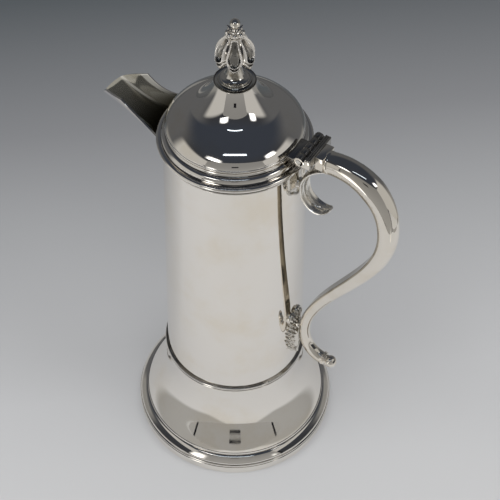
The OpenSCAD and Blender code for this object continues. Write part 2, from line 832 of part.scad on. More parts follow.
// Ring of points between the furrow's and the leaf's place on their profiles
function leaf_ring(deep, high, hollow) = [
  for (i = [0 : 10 * leaf_count - 1])
    let (
      a = 36 * i / leaf_count,
      p = lerp(deep, high, lobe(a)),
      r = p[0] - hollow * leaf_hollow(a)
    )
    [r * cos(a), r * sin(a), leaves_z + p[1]]
];
module finial_leaves() {
  under = [
    for (i = [0 : leaf_steps - 1])
      let (t = i / leaf_steps)
        leaf_ring(lerp([neck_r, 0], furrow_tip, t), bezier(leaf_under, t), 0)
  ];
  face = [
    for (i = [0 : leaf_steps])
      let (t = i / leaf_steps)
        leaf_ring(bezier(furrow_face, t), bezier(leaf_face, t), sin(180 * t))
  ];
  color(silver) loft(concat(under, face));
}

// Crown: a ring of beads under a short neck
module finial_beads() {
  band_h = 2 * bead_r + sheet / 2;
  band_r = bead_ring_r - bead_r / 2;
  color(bright_silver)
    translate([0, 0, leaves_top_z]) {
      cylinder(r = band_r, h = band_h, $fn = fine);
      cylinder(r = ball_r * 0.8, h = crown_h, $fn = fine);
      for (i = [0 : bead_count - 1])
        rotate([0, 0, 360 * i / bead_count])
          translate([bead_ring_r, 0, band_h / 2])
            sphere(bead_r, $fn = 32);
    }
}

// Ball at the very top, flattened underneath where it sits on the crown
module finial_ball() {
  sink = ball_r / 5;
  crown_z = leaves_top_z + crown_h;
  color(silver) difference() {
    translate([0, 0, crown_z + ball_r - sink])
      sphere(ball_r, $fn = fine);
    translate([0, 0, crown_z - ball_r])
      cylinder(r = 2 * ball_r, h = ball_r);
  }
}

// Stud: a rod from the pedestal down through collar and dome into the nut
nut_z = seat_z - sheet - nut_h;
module finial_stud() {
  low = nut_z - stud_r;
  color(shaded_silver)
    translate([0, 0, low])
      cylinder(r = stud_r, h = stud_top_z - low, $fn = fine);
}

// Nut: a round nut drawn up against the inside of the dome's seat
module finial_nut() {
  color(shaded_silver)
    translate([0, 0, nut_z])
      rotate_extrude()
        translate([stud_r, 0])
          square([nut_r - stud_r, nut_h]);
}

drum();
vessel_floor();
girdle_wire();
base_skirt();
foot_ring();
rim_moulding();
spout();
handle_back();
handle_strip();
handle_end_plate();
handle_hinge_leaf();
hinge_pin();
upper_scroll();
upper_handle_mount();
lower_handle_mount();
tail_bud();
lid_dome();
lid_edge();
lid_bezel();
lid_hinge_leaf();
finial_collar();
finial_pedestal();
finial_leaves();
finial_beads();
finial_ball();
finial_stud();
finial_nut();
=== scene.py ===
import math

import bpy
from mathutils import Euler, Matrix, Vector


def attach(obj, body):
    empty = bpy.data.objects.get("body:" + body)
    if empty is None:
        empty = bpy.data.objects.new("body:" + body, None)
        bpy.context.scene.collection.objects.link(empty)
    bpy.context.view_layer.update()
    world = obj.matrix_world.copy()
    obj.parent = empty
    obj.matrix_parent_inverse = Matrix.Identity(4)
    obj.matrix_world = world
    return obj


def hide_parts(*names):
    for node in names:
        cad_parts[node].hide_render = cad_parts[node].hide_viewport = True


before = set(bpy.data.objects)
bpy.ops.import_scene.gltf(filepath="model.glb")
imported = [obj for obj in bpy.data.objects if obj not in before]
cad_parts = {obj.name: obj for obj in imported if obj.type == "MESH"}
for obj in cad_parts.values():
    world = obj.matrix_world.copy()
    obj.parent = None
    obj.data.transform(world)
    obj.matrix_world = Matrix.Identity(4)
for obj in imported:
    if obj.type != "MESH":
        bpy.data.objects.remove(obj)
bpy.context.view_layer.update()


# Drum: a tapering tube seamed from one sheet of silver, planished smooth and burnished bright.
# Behind the spout a three-cornered opening is pierced in its wall for the wine to run out.
def take_all():
    """Open the active piece's mesh for work, with all of it selected."""
    bpy.ops.object.mode_set(mode="EDIT")
    bpy.ops.mesh.select_all(action="SELECT")


def turned(name, outline, steps=192):
    """A piece turned on the axis from an outline of (radius, height) in mm that ends where it starts."""
    bpy.ops.object.select_all(action="DESELECT")
    bpy.ops.mesh.primitive_plane_add(size=0.002)
    piece = bpy.context.object
    piece.name = piece.data.name = name
    take_all()
    bpy.ops.mesh.merge(type="CENTER")
    bpy.ops.transform.translate(value=(outline[0][0] / 1000, 0, outline[0][1] / 1000))
    for here, there in zip(outline, outline[1:]):
        step = ((there[0] - here[0]) / 1000, 0, (there[1] - here[1]) / 1000)
        bpy.ops.mesh.extrude_region_move(TRANSFORM_OT_translate={"value": step})
    bpy.ops.mesh.select_all(action="SELECT")
    bpy.ops.mesh.spin(steps=steps, angle=2 * math.pi, center=(0, 0, 0), axis=(0, 0, 1))
    bpy.ops.mesh.select_all(action="SELECT")
    bpy.ops.mesh.remove_doubles(threshold=1e-6)
    bpy.ops.mesh.normals_make_consistent(inside=False)
    bpy.ops.object.mode_set(mode="OBJECT")
    bpy.ops.object.shade_smooth_by_angle(angle=math.radians(34))
    return piece


def placed(piece, body, slot, *nodes):
    """Hand a finished piece to its body, in place of the plain solids that it stands for."""
    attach(piece, body)
    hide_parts(*nodes)


def feed(node, inputs):
    """Set a shader node's inputs, each to a value or to the output that feeds it."""
    for name, value in inputs.items():
        if isinstance(value, bpy.types.NodeSocket):
            node.id_data.links.new(value, node.inputs[name])
        else:
            node.inputs[name].default_value = value


def put(tree, kind, inputs=None, **settings):
    """Add a shader node with its settings and inputs."""
    node = tree.nodes.new("ShaderNode" + kind)
    for name, value in settings.items():
        setattr(node, name, value)
    feed(node, inputs or {})
    return node


def ramped(tree, value, first, last, low=0, high=1):
    """Output of a smooth ramp, from low to high while a value goes from first to last."""
    return put(tree, "MapRange", {
        "Value": value, "From Min": first, "From Max": last, "To Min": low, "To Max": high
    }, interpolation_type="SMOOTHSTEP").outputs["Result"]


def reckoned(tree, operation, *values):
    """Output of one step of arithmetic on values and outputs."""
    return put(tree, "Math", dict(enumerate(values)), operation=operation).outputs["Value"]


def mixed(tree, share, first, other):
    """Output of a mix of two colours, with a share of the other one."""
    return put(tree, "Mix", {"Factor": share, "A": first, "B": other}, data_type="RGBA").outputs["Result"]


def effect(name, takes, gives):
    """Start a shared effect: a node group with its inputs' usual values and the names of its outputs."""
    group = bpy.data.node_groups.new(name, "ShaderNodeTree")
    for socket, usual in takes.items():
        made = group.interface.new_socket(socket, in_out="INPUT", socket_type="NodeSocketFloat")
        made.default_value = usual
    for socket in gives:
        group.interface.new_socket(socket, in_out="OUTPUT", socket_type="NodeSocketFloat")
    return group, group.nodes.new("NodeGroupInput"), group.nodes.new("NodeGroupOutput")


def burnish_marks():
    """Shared effect of a hand-burnished skin: soft smudges, hair scratches and a slight unevenness."""
    group, given, result = effect("burnish_marks", {"Smudge Size": 28, "Smooth": 0.03, "Rubbed": 0.1},
                                  ("Smudge", "Roughness", "Height"))
    place = put(group, "TexCoord").outputs["Object"]
    smudge = put(group, "TexNoise", {
        "Vector": place, "Scale": given.outputs["Smudge Size"], "Detail": 5, "Roughness": 0.62})
    patches = ramped(group, smudge.outputs["Fac"], 0.46, 0.74)
    rubbed = put(group, "MapRange", {
        "Value": patches, "To Min": given.outputs["Smooth"], "To Max": given.outputs["Rubbed"]})
    draw = put(group, "Mapping", {"Vector": place, "Scale": (900, 900, 60)})
    hairs = put(group, "TexNoise", {"Vector": draw.outputs["Vector"], "Scale": 3, "Detail": 3})
    uneven = put(group, "TexNoise", {"Vector": place, "Scale": 45, "Detail": 1})
    height = reckoned(group, "MULTIPLY_ADD", hairs.outputs["Fac"], 0.05, uneven.outputs["Fac"])
    feed(result, {"Smudge": patches, "Roughness": rubbed.outputs["Result"], "Height": height})
    return group


burnish = burnish_marks()


def silver(name, bright, dulled, smooth, rubbed, smudge_size, uneven):
    """Polished silver: its bright tone dulls a little to a warmer one in the smudges left by handling."""
    skin = bpy.data.materials.new(name)
    skin.use_nodes = True
    tree = skin.node_tree
    marks = put(tree, "Group", {
        "Smudge Size": smudge_size, "Smooth": smooth, "Rubbed": rubbed
    }, node_tree=burnish).outputs
    bump = put(tree, "Bump", {"Height": marks["Height"], "Strength": uneven, "Distance": 0.0006})
    feed(tree.nodes["Principled BSDF"], {
        "Base Color": mixed(tree, marks["Smudge"], (*bright, 1), (*dulled, 1)), "Metallic": 1,
        "Roughness": marks["Roughness"], "Normal": bump.outputs["Normal"]})
    return skin


def cut_away(piece, tool):
    """Cut a tool's form out of a piece and put the tool away."""
    bpy.context.view_layer.objects.active = piece
    cut = piece.modifiers.new("cut", "BOOLEAN")
    cut.object = tool
    cut.solver = "EXACT"
    bpy.ops.object.modifier_apply(modifier=cut.name)
    bpy.data.objects.remove(tool)


raised_silver = silver("raised_silver", (0.97, 0.93, 0.87), (0.93, 0.86, 0.75), 0.03, 0.085, 26, 0.05)
sheet = 1
girdle_z, mouth_z = 65.5, 240
drum_low_r, drum_top_r = 42.8, 37.6
drum = turned("drum_tube", [
    (drum_low_r, girdle_z), (42.05, 90.5), (40.4, 146), (38.7, 204), (37.75, 235), (drum_top_r, mouth_z),
    (drum_top_r - sheet, mouth_z), (36.75, 235), (37.7, 204), (drum_low_r - sheet, girdle_z),
    (drum_low_r, girdle_z)
])
bpy.ops.mesh.primitive_cone_add(vertices=3, radius1=0.0147, radius2=0.0147, depth=0.03,
                                location=(-0.037, 0, 0.2261), rotation=(0, -math.pi / 2, 0))
piercing = bpy.context.object
bpy.ops.object.transform_apply()
cut_away(drum, piercing)
drum.data.materials.append(raised_silver)
placed(drum, "vessel", "sheet_silver", "drum")


# Floor of the vessel: a disc of the same sheet let into the drum a little above the girdle.
# It is seen only through the open mouth, and its silver is darker and duller than the outside.
def dressed(node, skin):
    """Give a piece that keeps its plain solid a skin of its own."""
    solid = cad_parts[node].data
    solid.materials.clear()
    solid.materials.append(skin)


darker_inner_silver = silver("darker_inner_silver", (0.72, 0.67, 0.57), (0.42, 0.37, 0.28), 0.16, 0.34, 40, 0.1)
dressed("vessel_floor", darker_inner_silver)


# Girdle: a drawn wire of two reeds soldered over the seam between drum and base.
# A dark line of painted shade lies between the reeds and along both edges.
def arc(centre, radius, first, last, count):
    """Points round a centre in an outline, from one angle to another in degrees."""
    turns = [math.radians(first + (last - first) * i / count) for i in range(count + 1)]
    return [(centre[0] + radius * math.cos(a), centre[1] + radius * math.sin(a)) for a in turns]


def painted_groove_shade():
    """Shared effect of painted shade along a turned groove, which lies at one height of a moulding; noise
    makes it uneven.
    """
    group, given, result = effect("painted_groove_shade", {"Level": 0, "Reach": 0}, ("Groove Shade",))
    place = put(group, "TexCoord").outputs["Object"]
    height = put(group, "SeparateXYZ", {"Vector": place}).outputs["Z"]
    off = reckoned(group, "ABSOLUTE", reckoned(group, "SUBTRACT", height, given.outputs["Level"]))
    near = ramped(group, off, 0, given.outputs["Reach"], 1, 0)
    shade_breakup = put(group, "TexNoise", {"Vector": place, "Scale": 90, "Detail": 3})
    kept = put(group, "MapRange", {
        "Value": shade_breakup.outputs["Fac"], "From Min": 0.35, "From Max": 0.6, "To Min": 0.45})
    feed(result, {"Groove Shade": reckoned(group, "MULTIPLY", near, kept.outputs["Result"])})
    return group


valley = painted_groove_shade()


def toned(skin, mask, other):
    """Lay another tone over a skin's colour where a mask is set."""
    shader = skin.node_tree.nodes["Principled BSDF"]
    under = shader.inputs["Base Color"].links[0].from_socket
    feed(shader, {"Base Color": mixed(skin.node_tree, mask, under, (*other, 1))})


def grooved(name, bright, dark, levels, reach):
    """Moulded silver with painted shade along its grooves, which lie at given heights in mm."""
    skin = silver(name, bright, tuple(0.94 * c for c in bright), 0.04, 0.1, 60, 0.04)
    for level in levels:
        groove = put(skin.node_tree, "Group", {
            "Level": level / 1000, "Reach": reach / 1000
        }, node_tree=valley)
        toned(skin, groove.outputs["Groove Shade"], dark)
    return skin


girdle = turned("girdle_reeds", [
    (42.8, 63.5), *arc((43.3, 64.6), 1, -110, 62, 12), *arc((43.3, 66.4), 1, -62, 110, 12),
    (42.75, 67.5), (42.8, 65.5), (42.8, 63.5)
])
girdle.data.materials.append(
    grooved("reeded_silver", (0.95, 0.91, 0.85), (0.16, 0.14, 0.11), (63.5, 65.5, 67.5), 0.45))
placed(girdle, "vessel", "moulding_silver", "girdle_wire")


# Base: a bell-shaped skirt raised from sheet, straight under the girdle and flaring to the foot.
# It takes the same mirror polish as the drum.
def on_curve(p, t):
    """Point at a share of a cubic curve with four guide points."""
    w = ((1 - t) ** 3, 3 * t * (1 - t) ** 2, 3 * t * t * (1 - t), t ** 3)
    return tuple(sum(w[k] * p[k][axis] for k in range(4)) for axis in range(2))


def bend(p, count, first=0):
    """Points along a cubic curve with four guide points."""
    return [on_curve(p, i / count) for i in range(first, count + 1)]


base_side = (bend([(drum_low_r, 61.5), (drum_low_r, 50.5), (43.7, 42), (47.7, 33.6)], 28)
             + bend([(47.7, 33.6), (50.5, 27.7), (55.3, 20.4), (58.1, 14.9)], 20, 1))
skirt = turned("base_bell", [
    (drum_low_r, girdle_z), *base_side, *[(r - sheet, z) for r, z in reversed(base_side)],
    (drum_low_r - sheet, girdle_z), (drum_low_r, girdle_z)
])
skirt.data.materials.append(raised_silver)
placed(skirt, "vessel", "sheet_silver", "base_skirt")


# Foot: a cast and turned ring under the base. From the top it has a thin fillet, a broad rounded
# slope, a fine reed and a plain plinth band; underneath it is hollow.
foot = turned("foot_moulding", [
    (56.2, 14.9), (58.3, 14.9), *arc((58.4, 14.75), 0.15, 80, 20, 3), (58.95, 13.45), (58.9, 13.25),
    (58.6, 13.1), *bend([(58.8, 13.2), (60.2, 13), (62.9, 10.9), (63.45, 9.5)], 20),
    *arc((62.95, 9.3), 0.55, 10, -60, 4), (63.2, 8.7), *arc((63.25, 7.55), 0.95, 70, -70, 10), (63.4, 6.55),
    (63.95, 6.5), (64.2, 6.25), (64.2, 0.35), (63.9, 0), (62.4, 0), (62.4, 7.5), (59, 11.9),
    (54.2, 11.9), (54.2, 14.9), (56.2, 14.9)
], 224)
# Painted shade darkens the foot's grooves.
foot.data.materials.append(
    grooved("foot_silver", (0.95, 0.91, 0.85), (0.13, 0.115, 0.09), (13.7, 8.65, 6.6), 0.3))
placed(foot, "vessel", "moulding_silver", "foot_ring")


# Rim: a moulded wire round the mouth, with a rounded nose over a hollow and a small fillet.
# The lid comes down on its flat top.
rim = turned("rim_moulding_wire", [
    (37.78, 234.4), (38.85, 234.4), *arc((38.8, 234.7), 0.3, -60, 60, 4), (38.75, 235.6),
    *arc((40.55, 236.2), 1.75, 195, 140, 5), (39.4, 237.45),
    *arc((39.6, 238.6), 1.4, -90, 90, 16), (37.6, 240), (37.78, 234.4)
])
# Painted shade darkens the rim's grooves.
rim.data.materials.append(
    grooved("rim_silver", (0.94, 0.9, 0.84), (0.12, 0.105, 0.085), (235.4, 237.3), 0.5))
placed(rim, "vessel", "moulding_silver", "rim_moulding")


# Spout: a beak raised from one sheet and let onto the drum under the rim. Its two upper edges run
# out to the corners of the lip and its keel to the tip. Painted shade makes the inside darker, nearly
# black towards the root, and painted highlights make it pale along its folds and edges.
spout_root, spout_tip = (36.8, 199.5), (85.4, 227.5)
spout_run = spout_tip[0] - spout_root[0]
spout_keel = [
    spout_root, (spout_root[0] + spout_run / 4, spout_root[1] + spout_run / 4),
    (spout_tip[0] - spout_run / 3, spout_tip[1] - spout_run / 16), spout_tip
]
spout_spread = math.radians(44)
keel_fold, side_fold = 0.012, 0.002


def spout_skin(t, s):
    """Point on the beak's outside: t runs from drum to lip, s from one edge over the keel to the other."""
    edge = (drum_top_r * math.cos(spout_spread) * (1 - t) + 63.8 * t,
            drum_top_r * math.sin(spout_spread) * (1 - t) + 12.7 * t - 15.6 * t * (1 - t),
            (mouth_z - sheet) * (1 - t) + 241.9 * t - 26.4 * t * (1 - t))
    keel = on_curve(spout_keel, t)
    side = abs(s)
    blunt = math.sqrt(keel_fold)
    soft = (math.sqrt(side ** 2 + keel_fold) - blunt) / (math.sqrt(1 + keel_fold) - blunt)
    wide = 1.3 * side - 0.3 * side ** 2
    fold = 1.47 * side - 0.47 * (side - 0.5 + math.sqrt((side - 0.5) ** 2 + side_fold))
    up = (1.6 * soft - 0.6 * soft ** 2) * (1 - t) + fold * t
    back = 0.58 * soft + 0.42 * soft ** 2
    return Vector((-(keel[0] + (edge[0] - keel[0]) * back), math.copysign(edge[1] * wide, s),
                   keel[1] + (edge[2] - keel[1]) * up)) / 1000


bpy.ops.object.select_all(action="DESELECT")
bpy.ops.mesh.primitive_grid_add(x_subdivisions=40, y_subdivisions=64, size=2)
spout = bpy.context.object
spout.name = spout.data.name = "spout_beak"
for vertex in spout.data.vertices:
    vertex.co = spout_skin((vertex.co.x + 1) / 2, vertex.co.y)
take_all()
bpy.ops.mesh.normals_make_consistent(inside=False)
bpy.ops.object.mode_set(mode="OBJECT")
if min(spout.data.polygons, key=lambda face: face.center.z).normal.z > 0:
    take_all()
    bpy.ops.mesh.flip_normals()
    bpy.ops.object.mode_set(mode="OBJECT")
spout.data.materials.append(raised_silver)
spout_inside = silver("spout_inside_painted_light", (0.58, 0.56, 0.49), (0.38, 0.35, 0.27), 0.07, 0.18, 75, 0.005)
tree = spout_inside.node_tree
where = put(tree, "SeparateXYZ", {"Vector": put(tree, "TexCoord").outputs["UV"]}).outputs
aside = reckoned(tree, "ABSOLUTE", reckoned(tree, "MULTIPLY_ADD", where["Y"], 2, -1))
from_fold = reckoned(tree, "ABSOLUTE", reckoned(tree, "SUBTRACT", aside, 0.5))
# Painted highlight: pale, less metallic silver along the folds and edges, growing towards the lip.
on_fold = ramped(tree, from_fold, 0.055, 0.005, 0, 0.6)
on_edge = ramped(tree, aside, 0.84, 0.9, 0, 0.7)
outward = ramped(tree, where["X"], 0.35, 0.65)
pale = reckoned(tree, "MULTIPLY", reckoned(tree, "MAXIMUM", on_fold, on_edge), outward)
metal = put(tree, "MapRange", {"Value": pale, "To Min": 0.92, "To Max": 0.4})
feed(tree.nodes["Principled BSDF"], {"Metallic": metal.outputs["Result"]})
toned(spout_inside, pale, (0.9, 0.87, 0.8))
# Painted shade: the inside darkens to nearly black towards the root at the drum.
toned(spout_inside, ramped(tree, where["X"], 0.9, 0.38), (0.05, 0.045, 0.03))
spout.data.materials.append(spout_inside)
wall = spout.modifiers.new("sheet", "SOLIDIFY")
wall.thickness = sheet / 1000
wall.offset = -1
wall.material_offset = 1
wall.use_even_offset = True
bpy.ops.object.modifier_apply(modifier=wall.name)
soft_edge = spout.modifiers.new("filed_edge", "BEVEL")
soft_edge.width = 0.0003
soft_edge.segments = 3
soft_edge.limit_method = "ANGLE"
soft_edge.angle_limit = math.radians(50)
bpy.ops.object.modifier_apply(modifier=soft_edge.name)
bpy.ops.mesh.primitive_cone_add(vertices=192, radius1=0.03881, radius2=0.03733, depth=0.05,
                                location=(0, 0, 0.2245))
cut_away(spout, bpy.context.object)
bpy.ops.mesh.primitive_cylinder_add(vertices=192, radius=0.0411, depth=0.02, location=(0, 0, 0.2444))
cut_away(spout, bpy.context.object)
bpy.ops.object.select_all(action="DESELECT")
spout.select_set(True)
bpy.context.view_layer.objects.active = spout
bpy.ops.object.shade_smooth_by_angle(angle=math.radians(40))
placed(spout, "vessel", "spout_silver", "spout")


# Handle: an S-scroll of D section. Its rounded back is drawn and bent from sheet, and a flat strip
# is soldered on to close its inner side.
def swept(name, section, stations):
    """A bar drawn along the handle's plane: stations give a centre in mm, a heading in degrees and a size."""
    first = stations[0]
    bpy.ops.object.select_all(action="DESELECT")
    bpy.ops.mesh.primitive_circle_add(vertices=len(section), radius=0.001, fill_type="NGON")
    piece = bpy.context.object
    piece.name = piece.data.name = name
    lean = math.radians(first[1])
    out = Vector((-math.sin(lean), 0, math.cos(lean)))
    at = Vector((first[0][0], 0, first[0][1]))
    for vertex, (across, up) in zip(piece.data.vertices, section):
        vertex.co = (at + first[2] * (out * up + Vector((0, across, 0)))) / 1000
    take_all()
    for here, there in zip(stations, stations[1:]):
        step = ((there[0][0] - here[0][0]) / 1000, 0, (there[0][1] - here[0][1]) / 1000)
        centre = (there[0][0] / 1000, 0, there[0][1] / 1000)
        bpy.ops.mesh.extrude_region_move(TRANSFORM_OT_translate={"value": step})
        turn = (there[1] - here[1] + 180) % 360 - 180
        bpy.ops.transform.rotate(value=math.radians(turn), orient_axis="Y", center_override=centre)
        bpy.ops.transform.resize(value=(there[2] / here[2],) * 3, center_override=centre)
    bpy.ops.mesh.select_all(action="SELECT")
    bpy.ops.mesh.normals_make_consistent(inside=False)
    bpy.ops.object.mode_set(mode="OBJECT")
    bpy.ops.object.shade_smooth_by_angle(angle=math.radians(34))
    return piece


handle_guides = [
    [(54.6, 248.5), (73.15, 252.875), (91.7, 240.8), (91.7, 213.5)],
    [(91.7, 213.5), (91.7, 178.167), (49.049, 142.833), (49.049, 107.5)],
    [(49.049, 107.5), (49.049, 93.356), (56.825, 86.7), (63.449, 86.7)]
]
handle_halves = [(0, 5.6), (0.5, 6.4), (1, 5.5), (2, 3.4), (3, 3.6)]


def handle_station(q):
    """Centre, heading and half thickness of the handle at a share of its three curves."""
    leg = min(2, int(q))
    t = q - leg
    p = handle_guides[leg]
    w = ((1 - t) ** 2, 2 * t * (1 - t), t * t)
    run = [sum(w[k] * (p[k + 1][axis] - p[k][axis]) for k in range(3)) for axis in (0, 1)]
    low, high = [pair for pair in zip(handle_halves, handle_halves[1:]) if pair[0][0] <= q <= pair[1][0]][0]
    half = low[1] + (high[1] - low[1]) * (q - low[0]) / (high[0] - low[0])
    return on_curve(p, t), math.degrees(math.atan2(run[1], run[0])), half


polished_handle = silver("handled_silver", (0.91, 0.86, 0.78), (0.84, 0.77, 0.66), 0.035, 0.1, 40, 0.04)
round_back = [(math.cos(math.radians(a)), math.sin(math.radians(a))) for a in range(-26, 207, 8)]
handle_stations = [handle_station(3 * i / 96) for i in range(97)]
back = swept("handle_round_back", [(0.866, -0.5), *round_back, (-0.866, -0.5)], handle_stations)
back.data.materials.append(polished_handle)
placed(back, "vessel", "handle_silver", "handle_back")

flat_strip = [(0.862, -0.5), (-0.862, -0.5), (-0.862, -0.66), (-0.8, -0.71), (0.8, -0.71), (0.862, -0.66)]
strip = swept("handle_flat_strip", flat_strip, handle_stations)
# The flat strip faces the drum, and its silver is darkened as painted shade.
shaded_strip = silver("shaded_strip_silver", (0.42, 0.38, 0.31), (0.2, 0.17, 0.12), 0.1, 0.25, 60, 0.05)
strip.data.materials.append(shaded_strip)
placed(strip, "vessel", "handle_silver", "handle_strip")


# End plate: a cast block that tapers from the wide hinge to the handle's head, with a small reed
# where the handle is soldered to it.
def block(name, low, high):
    """A block between two corners in mm."""
    bpy.ops.object.select_all(action="DESELECT")
    middle = [(a + b) / 2000 for a, b in zip(low, high)]
    bpy.ops.mesh.primitive_cube_add(size=0.001, location=middle, scale=[b - a for a, b in zip(low, high)])
    piece = bpy.context.object
    piece.name = piece.data.name = name
    bpy.ops.object.transform_apply()
    return piece


def eased(piece, width, segments=3, angle=30):
    """Round a piece's sharp edges over, by a width in mm."""
    bpy.ops.object.select_all(action="DESELECT")
    piece.select_set(True)
    bpy.context.view_layer.objects.active = piece
    edge = piece.modifiers.new("eased", "BEVEL")
    edge.width = width / 1000
    edge.segments = segments
    edge.limit_method = "ANGLE"
    edge.angle_limit = math.radians(angle)
    bpy.ops.object.modifier_apply(modifier=edge.name)
    bpy.ops.object.shade_smooth_by_angle(angle=math.radians(40))
    return piece


def joined(name, pieces):
    """Solder several finished forms into one piece."""
    bpy.ops.object.select_all(action="DESELECT")
    for piece in pieces:
        piece.select_set(True)
    bpy.context.view_layer.objects.active = pieces[0]
    bpy.ops.object.join()
    pieces[0].name = pieces[0].data.name = name
    return pieces[0]


plate = block("end_block", (50, -11, 248.7), (54.6, 11, 254.1))
for vertex in plate.data.vertices:
    vertex.select = vertex.co.x > 0.053
bpy.ops.object.mode_set(mode="EDIT")
bpy.ops.transform.resize(value=(1, 0.53, 1.5), center_override=(0.0546, 0, 0.2514))
bpy.ops.transform.translate(value=(0, 0, -0.0014))
bpy.ops.object.mode_set(mode="OBJECT")
eased(plate, 0.5)
full_section = [(0.866, -0.5), *round_back, (-0.866, -0.5), (-0.8, -0.71), (0.8, -0.71)]
rows = [(handle_station(0.0045 * i), 1 + 0.055 * math.sin(math.pi * i / 8)) for i in range(9)]
reed = swept("end_reed", full_section, [(at, heading, size * grown) for (at, heading, size), grown in rows])
end_plate = joined("handle_end_block", [plate, reed])
end_plate.data.materials.append(polished_handle)
placed(end_plate, "vessel", "handle_silver", "handle_end_plate")


# Hinge, fixed side: a bar with three knuckles that hold the pin. The barrel is reeded along its
# length; painted shade darkens its silver all over, and its end faces keep the bright handle silver.
barrel_end, knuckle_pitch, knuckle_width = -11, 4.46, 4.16
pin_x, pin_z = 43.6, 251.4


def worked_silver(name, bright, dark, size, low, high):
    """Cast and chased silver with a dark tone left in small hollows and scratches."""
    skin = silver(name, bright, tuple(0.85 * c for c in bright), 0.06, 0.2, 90, 0.12)
    tree = skin.node_tree
    stain = put(tree, "TexNoise", {
        "Vector": put(tree, "TexCoord").outputs["Object"], "Scale": size, "Detail": 4})
    toned(skin, ramped(tree, stain.outputs["Fac"], low, high), dark)
    return skin


def copied(piece, place=(0, 0, 0), turn=0):
    """A copy of a piece with its own mesh, moved by a place in m and turned about the axis in degrees."""
    bpy.ops.object.select_all(action="DESELECT")
    piece.select_set(True)
    bpy.context.view_layer.objects.active = piece
    bpy.ops.object.duplicate()
    copy = bpy.context.object
    copy.location = place
    copy.rotation_euler = (0, 0, math.radians(turn))
    bpy.ops.object.transform_apply()
    return copy


def knuckle(number):
    """One knuckle of the hinge's barrel, counted from its end."""
    return copied(end_knuckle, (0, knuckle_pitch * number / 1000, 0))


def web(number, low, high):
    """The web that ties a knuckle to its leaf, between two corners (x, z) in mm."""
    start = barrel_end + knuckle_pitch * number
    return eased(block("web", (low[0], start, low[1]), (high[0], start + knuckle_width, high[1])), 0.2)


bpy.ops.object.select_all(action="DESELECT")
bpy.ops.mesh.primitive_circle_add(vertices=96, radius=0.0027)
end_knuckle = bpy.context.object
for i, vertex in enumerate(end_knuckle.data.vertices):
    vertex.co *= 1 - 0.05 * (1 - abs(math.cos(9 * 2 * math.pi * i / 96)))
take_all()
bpy.ops.mesh.extrude_region_move(TRANSFORM_OT_translate={"value": (0, 0, 0)})
bpy.ops.transform.resize(value=(0.48, 0.48, 1), center_override=(0, 0, 0))
bpy.ops.mesh.select_all(action="SELECT")
bpy.ops.mesh.extrude_region_move(TRANSFORM_OT_translate={"value": (0, 0, knuckle_width / 1000)})
bpy.ops.mesh.select_all(action="SELECT")
bpy.ops.mesh.normals_make_consistent(inside=False)
bpy.ops.object.mode_set(mode="OBJECT")
end_knuckle.rotation_euler = (-math.pi / 2, 0, 0)
end_knuckle.location = (pin_x / 1000, barrel_end / 1000, pin_z / 1000)
bpy.ops.object.transform_apply()
eased(end_knuckle, 0.2, 2, 60)

bar = eased(block("bar", (46.6, barrel_end, 248.7), (50, -barrel_end, 254.1)), 0.5)
webs = [web(k, (44.5, 248.9), (47, 252.8)) for k in (0, 2, 4)]
bpy.ops.object.select_all(action="DESELECT")
bpy.ops.mesh.primitive_cylinder_add(vertices=24, radius=0.00042, depth=0.0212, rotation=(math.pi / 2, 0, 0),
                                    location=(0.0473, 0, 0.2541))
rib = bpy.context.object
bpy.ops.object.transform_apply()
eased(rib, 0.15, 2, 60)
ribs = [rib, copied(rib, (0.001, 0, 0)), copied(rib, (0.002, 0, 0))]
hinge_fixed = joined("hinge_fixed_leaf", [bar, *webs, *ribs, *[knuckle(k) for k in (0, 2, 4)]])
# Painted shade: the hinge's silver is a much darker copy of the handle's.
hinge_silver = silver("hinge_silver", (0.4, 0.385, 0.36), (0.2, 0.19, 0.175), 0.1, 0.24, 150, 0.04)
hinge_fixed.data.materials.append(hinge_silver)
hinge_fixed.data.materials.append(polished_handle)
for face in hinge_fixed.data.polygons:
    face.material_index = int(abs(face.normal.y) > 0.6)
placed(hinge_fixed, "vessel", "hinge_silver", "handle_hinge_leaf")
pin_silver = silver("pin_silver", (0.8, 0.77, 0.7), (0.5, 0.46, 0.38), 0.12, 0.3, 300, 0.1)
dressed("hinge_pin", pin_silver)


# Scroll under the handle's head: a tapering tongue of thick sheet that curls away from the drum, with
# a raised rib along its hollow side. It is soldered to the handle's head.
def drawn(points, count):
    """Stations along a smooth line through points (x, z, half width) in mm."""
    rows = []
    for i in range(len(points) - 1):
        p = [points[max(0, i - 1)], points[i], points[i + 1], points[min(len(points) - 1, i + 2)]]
        for j in range(count + (i == len(points) - 2)):
            t = j / count
            w = (-t + 2 * t * t - t ** 3, 2 - 5 * t * t + 3 * t ** 3,
                 t + 4 * t * t - 3 * t ** 3, t ** 3 - t * t)
            rows.append([sum(c * q[k] for c, q in zip(w, p)) / 2 for k in range(3)])
    stops = []
    for i, (x, z, half) in enumerate(rows):
        back_row, next_row = rows[max(0, i - 1)], rows[min(len(rows) - 1, i + 1)]
        heading = math.degrees(math.atan2(next_row[1] - back_row[1], next_row[0] - back_row[0]))
        stops.append(((x, z), heading, half))
    return stops


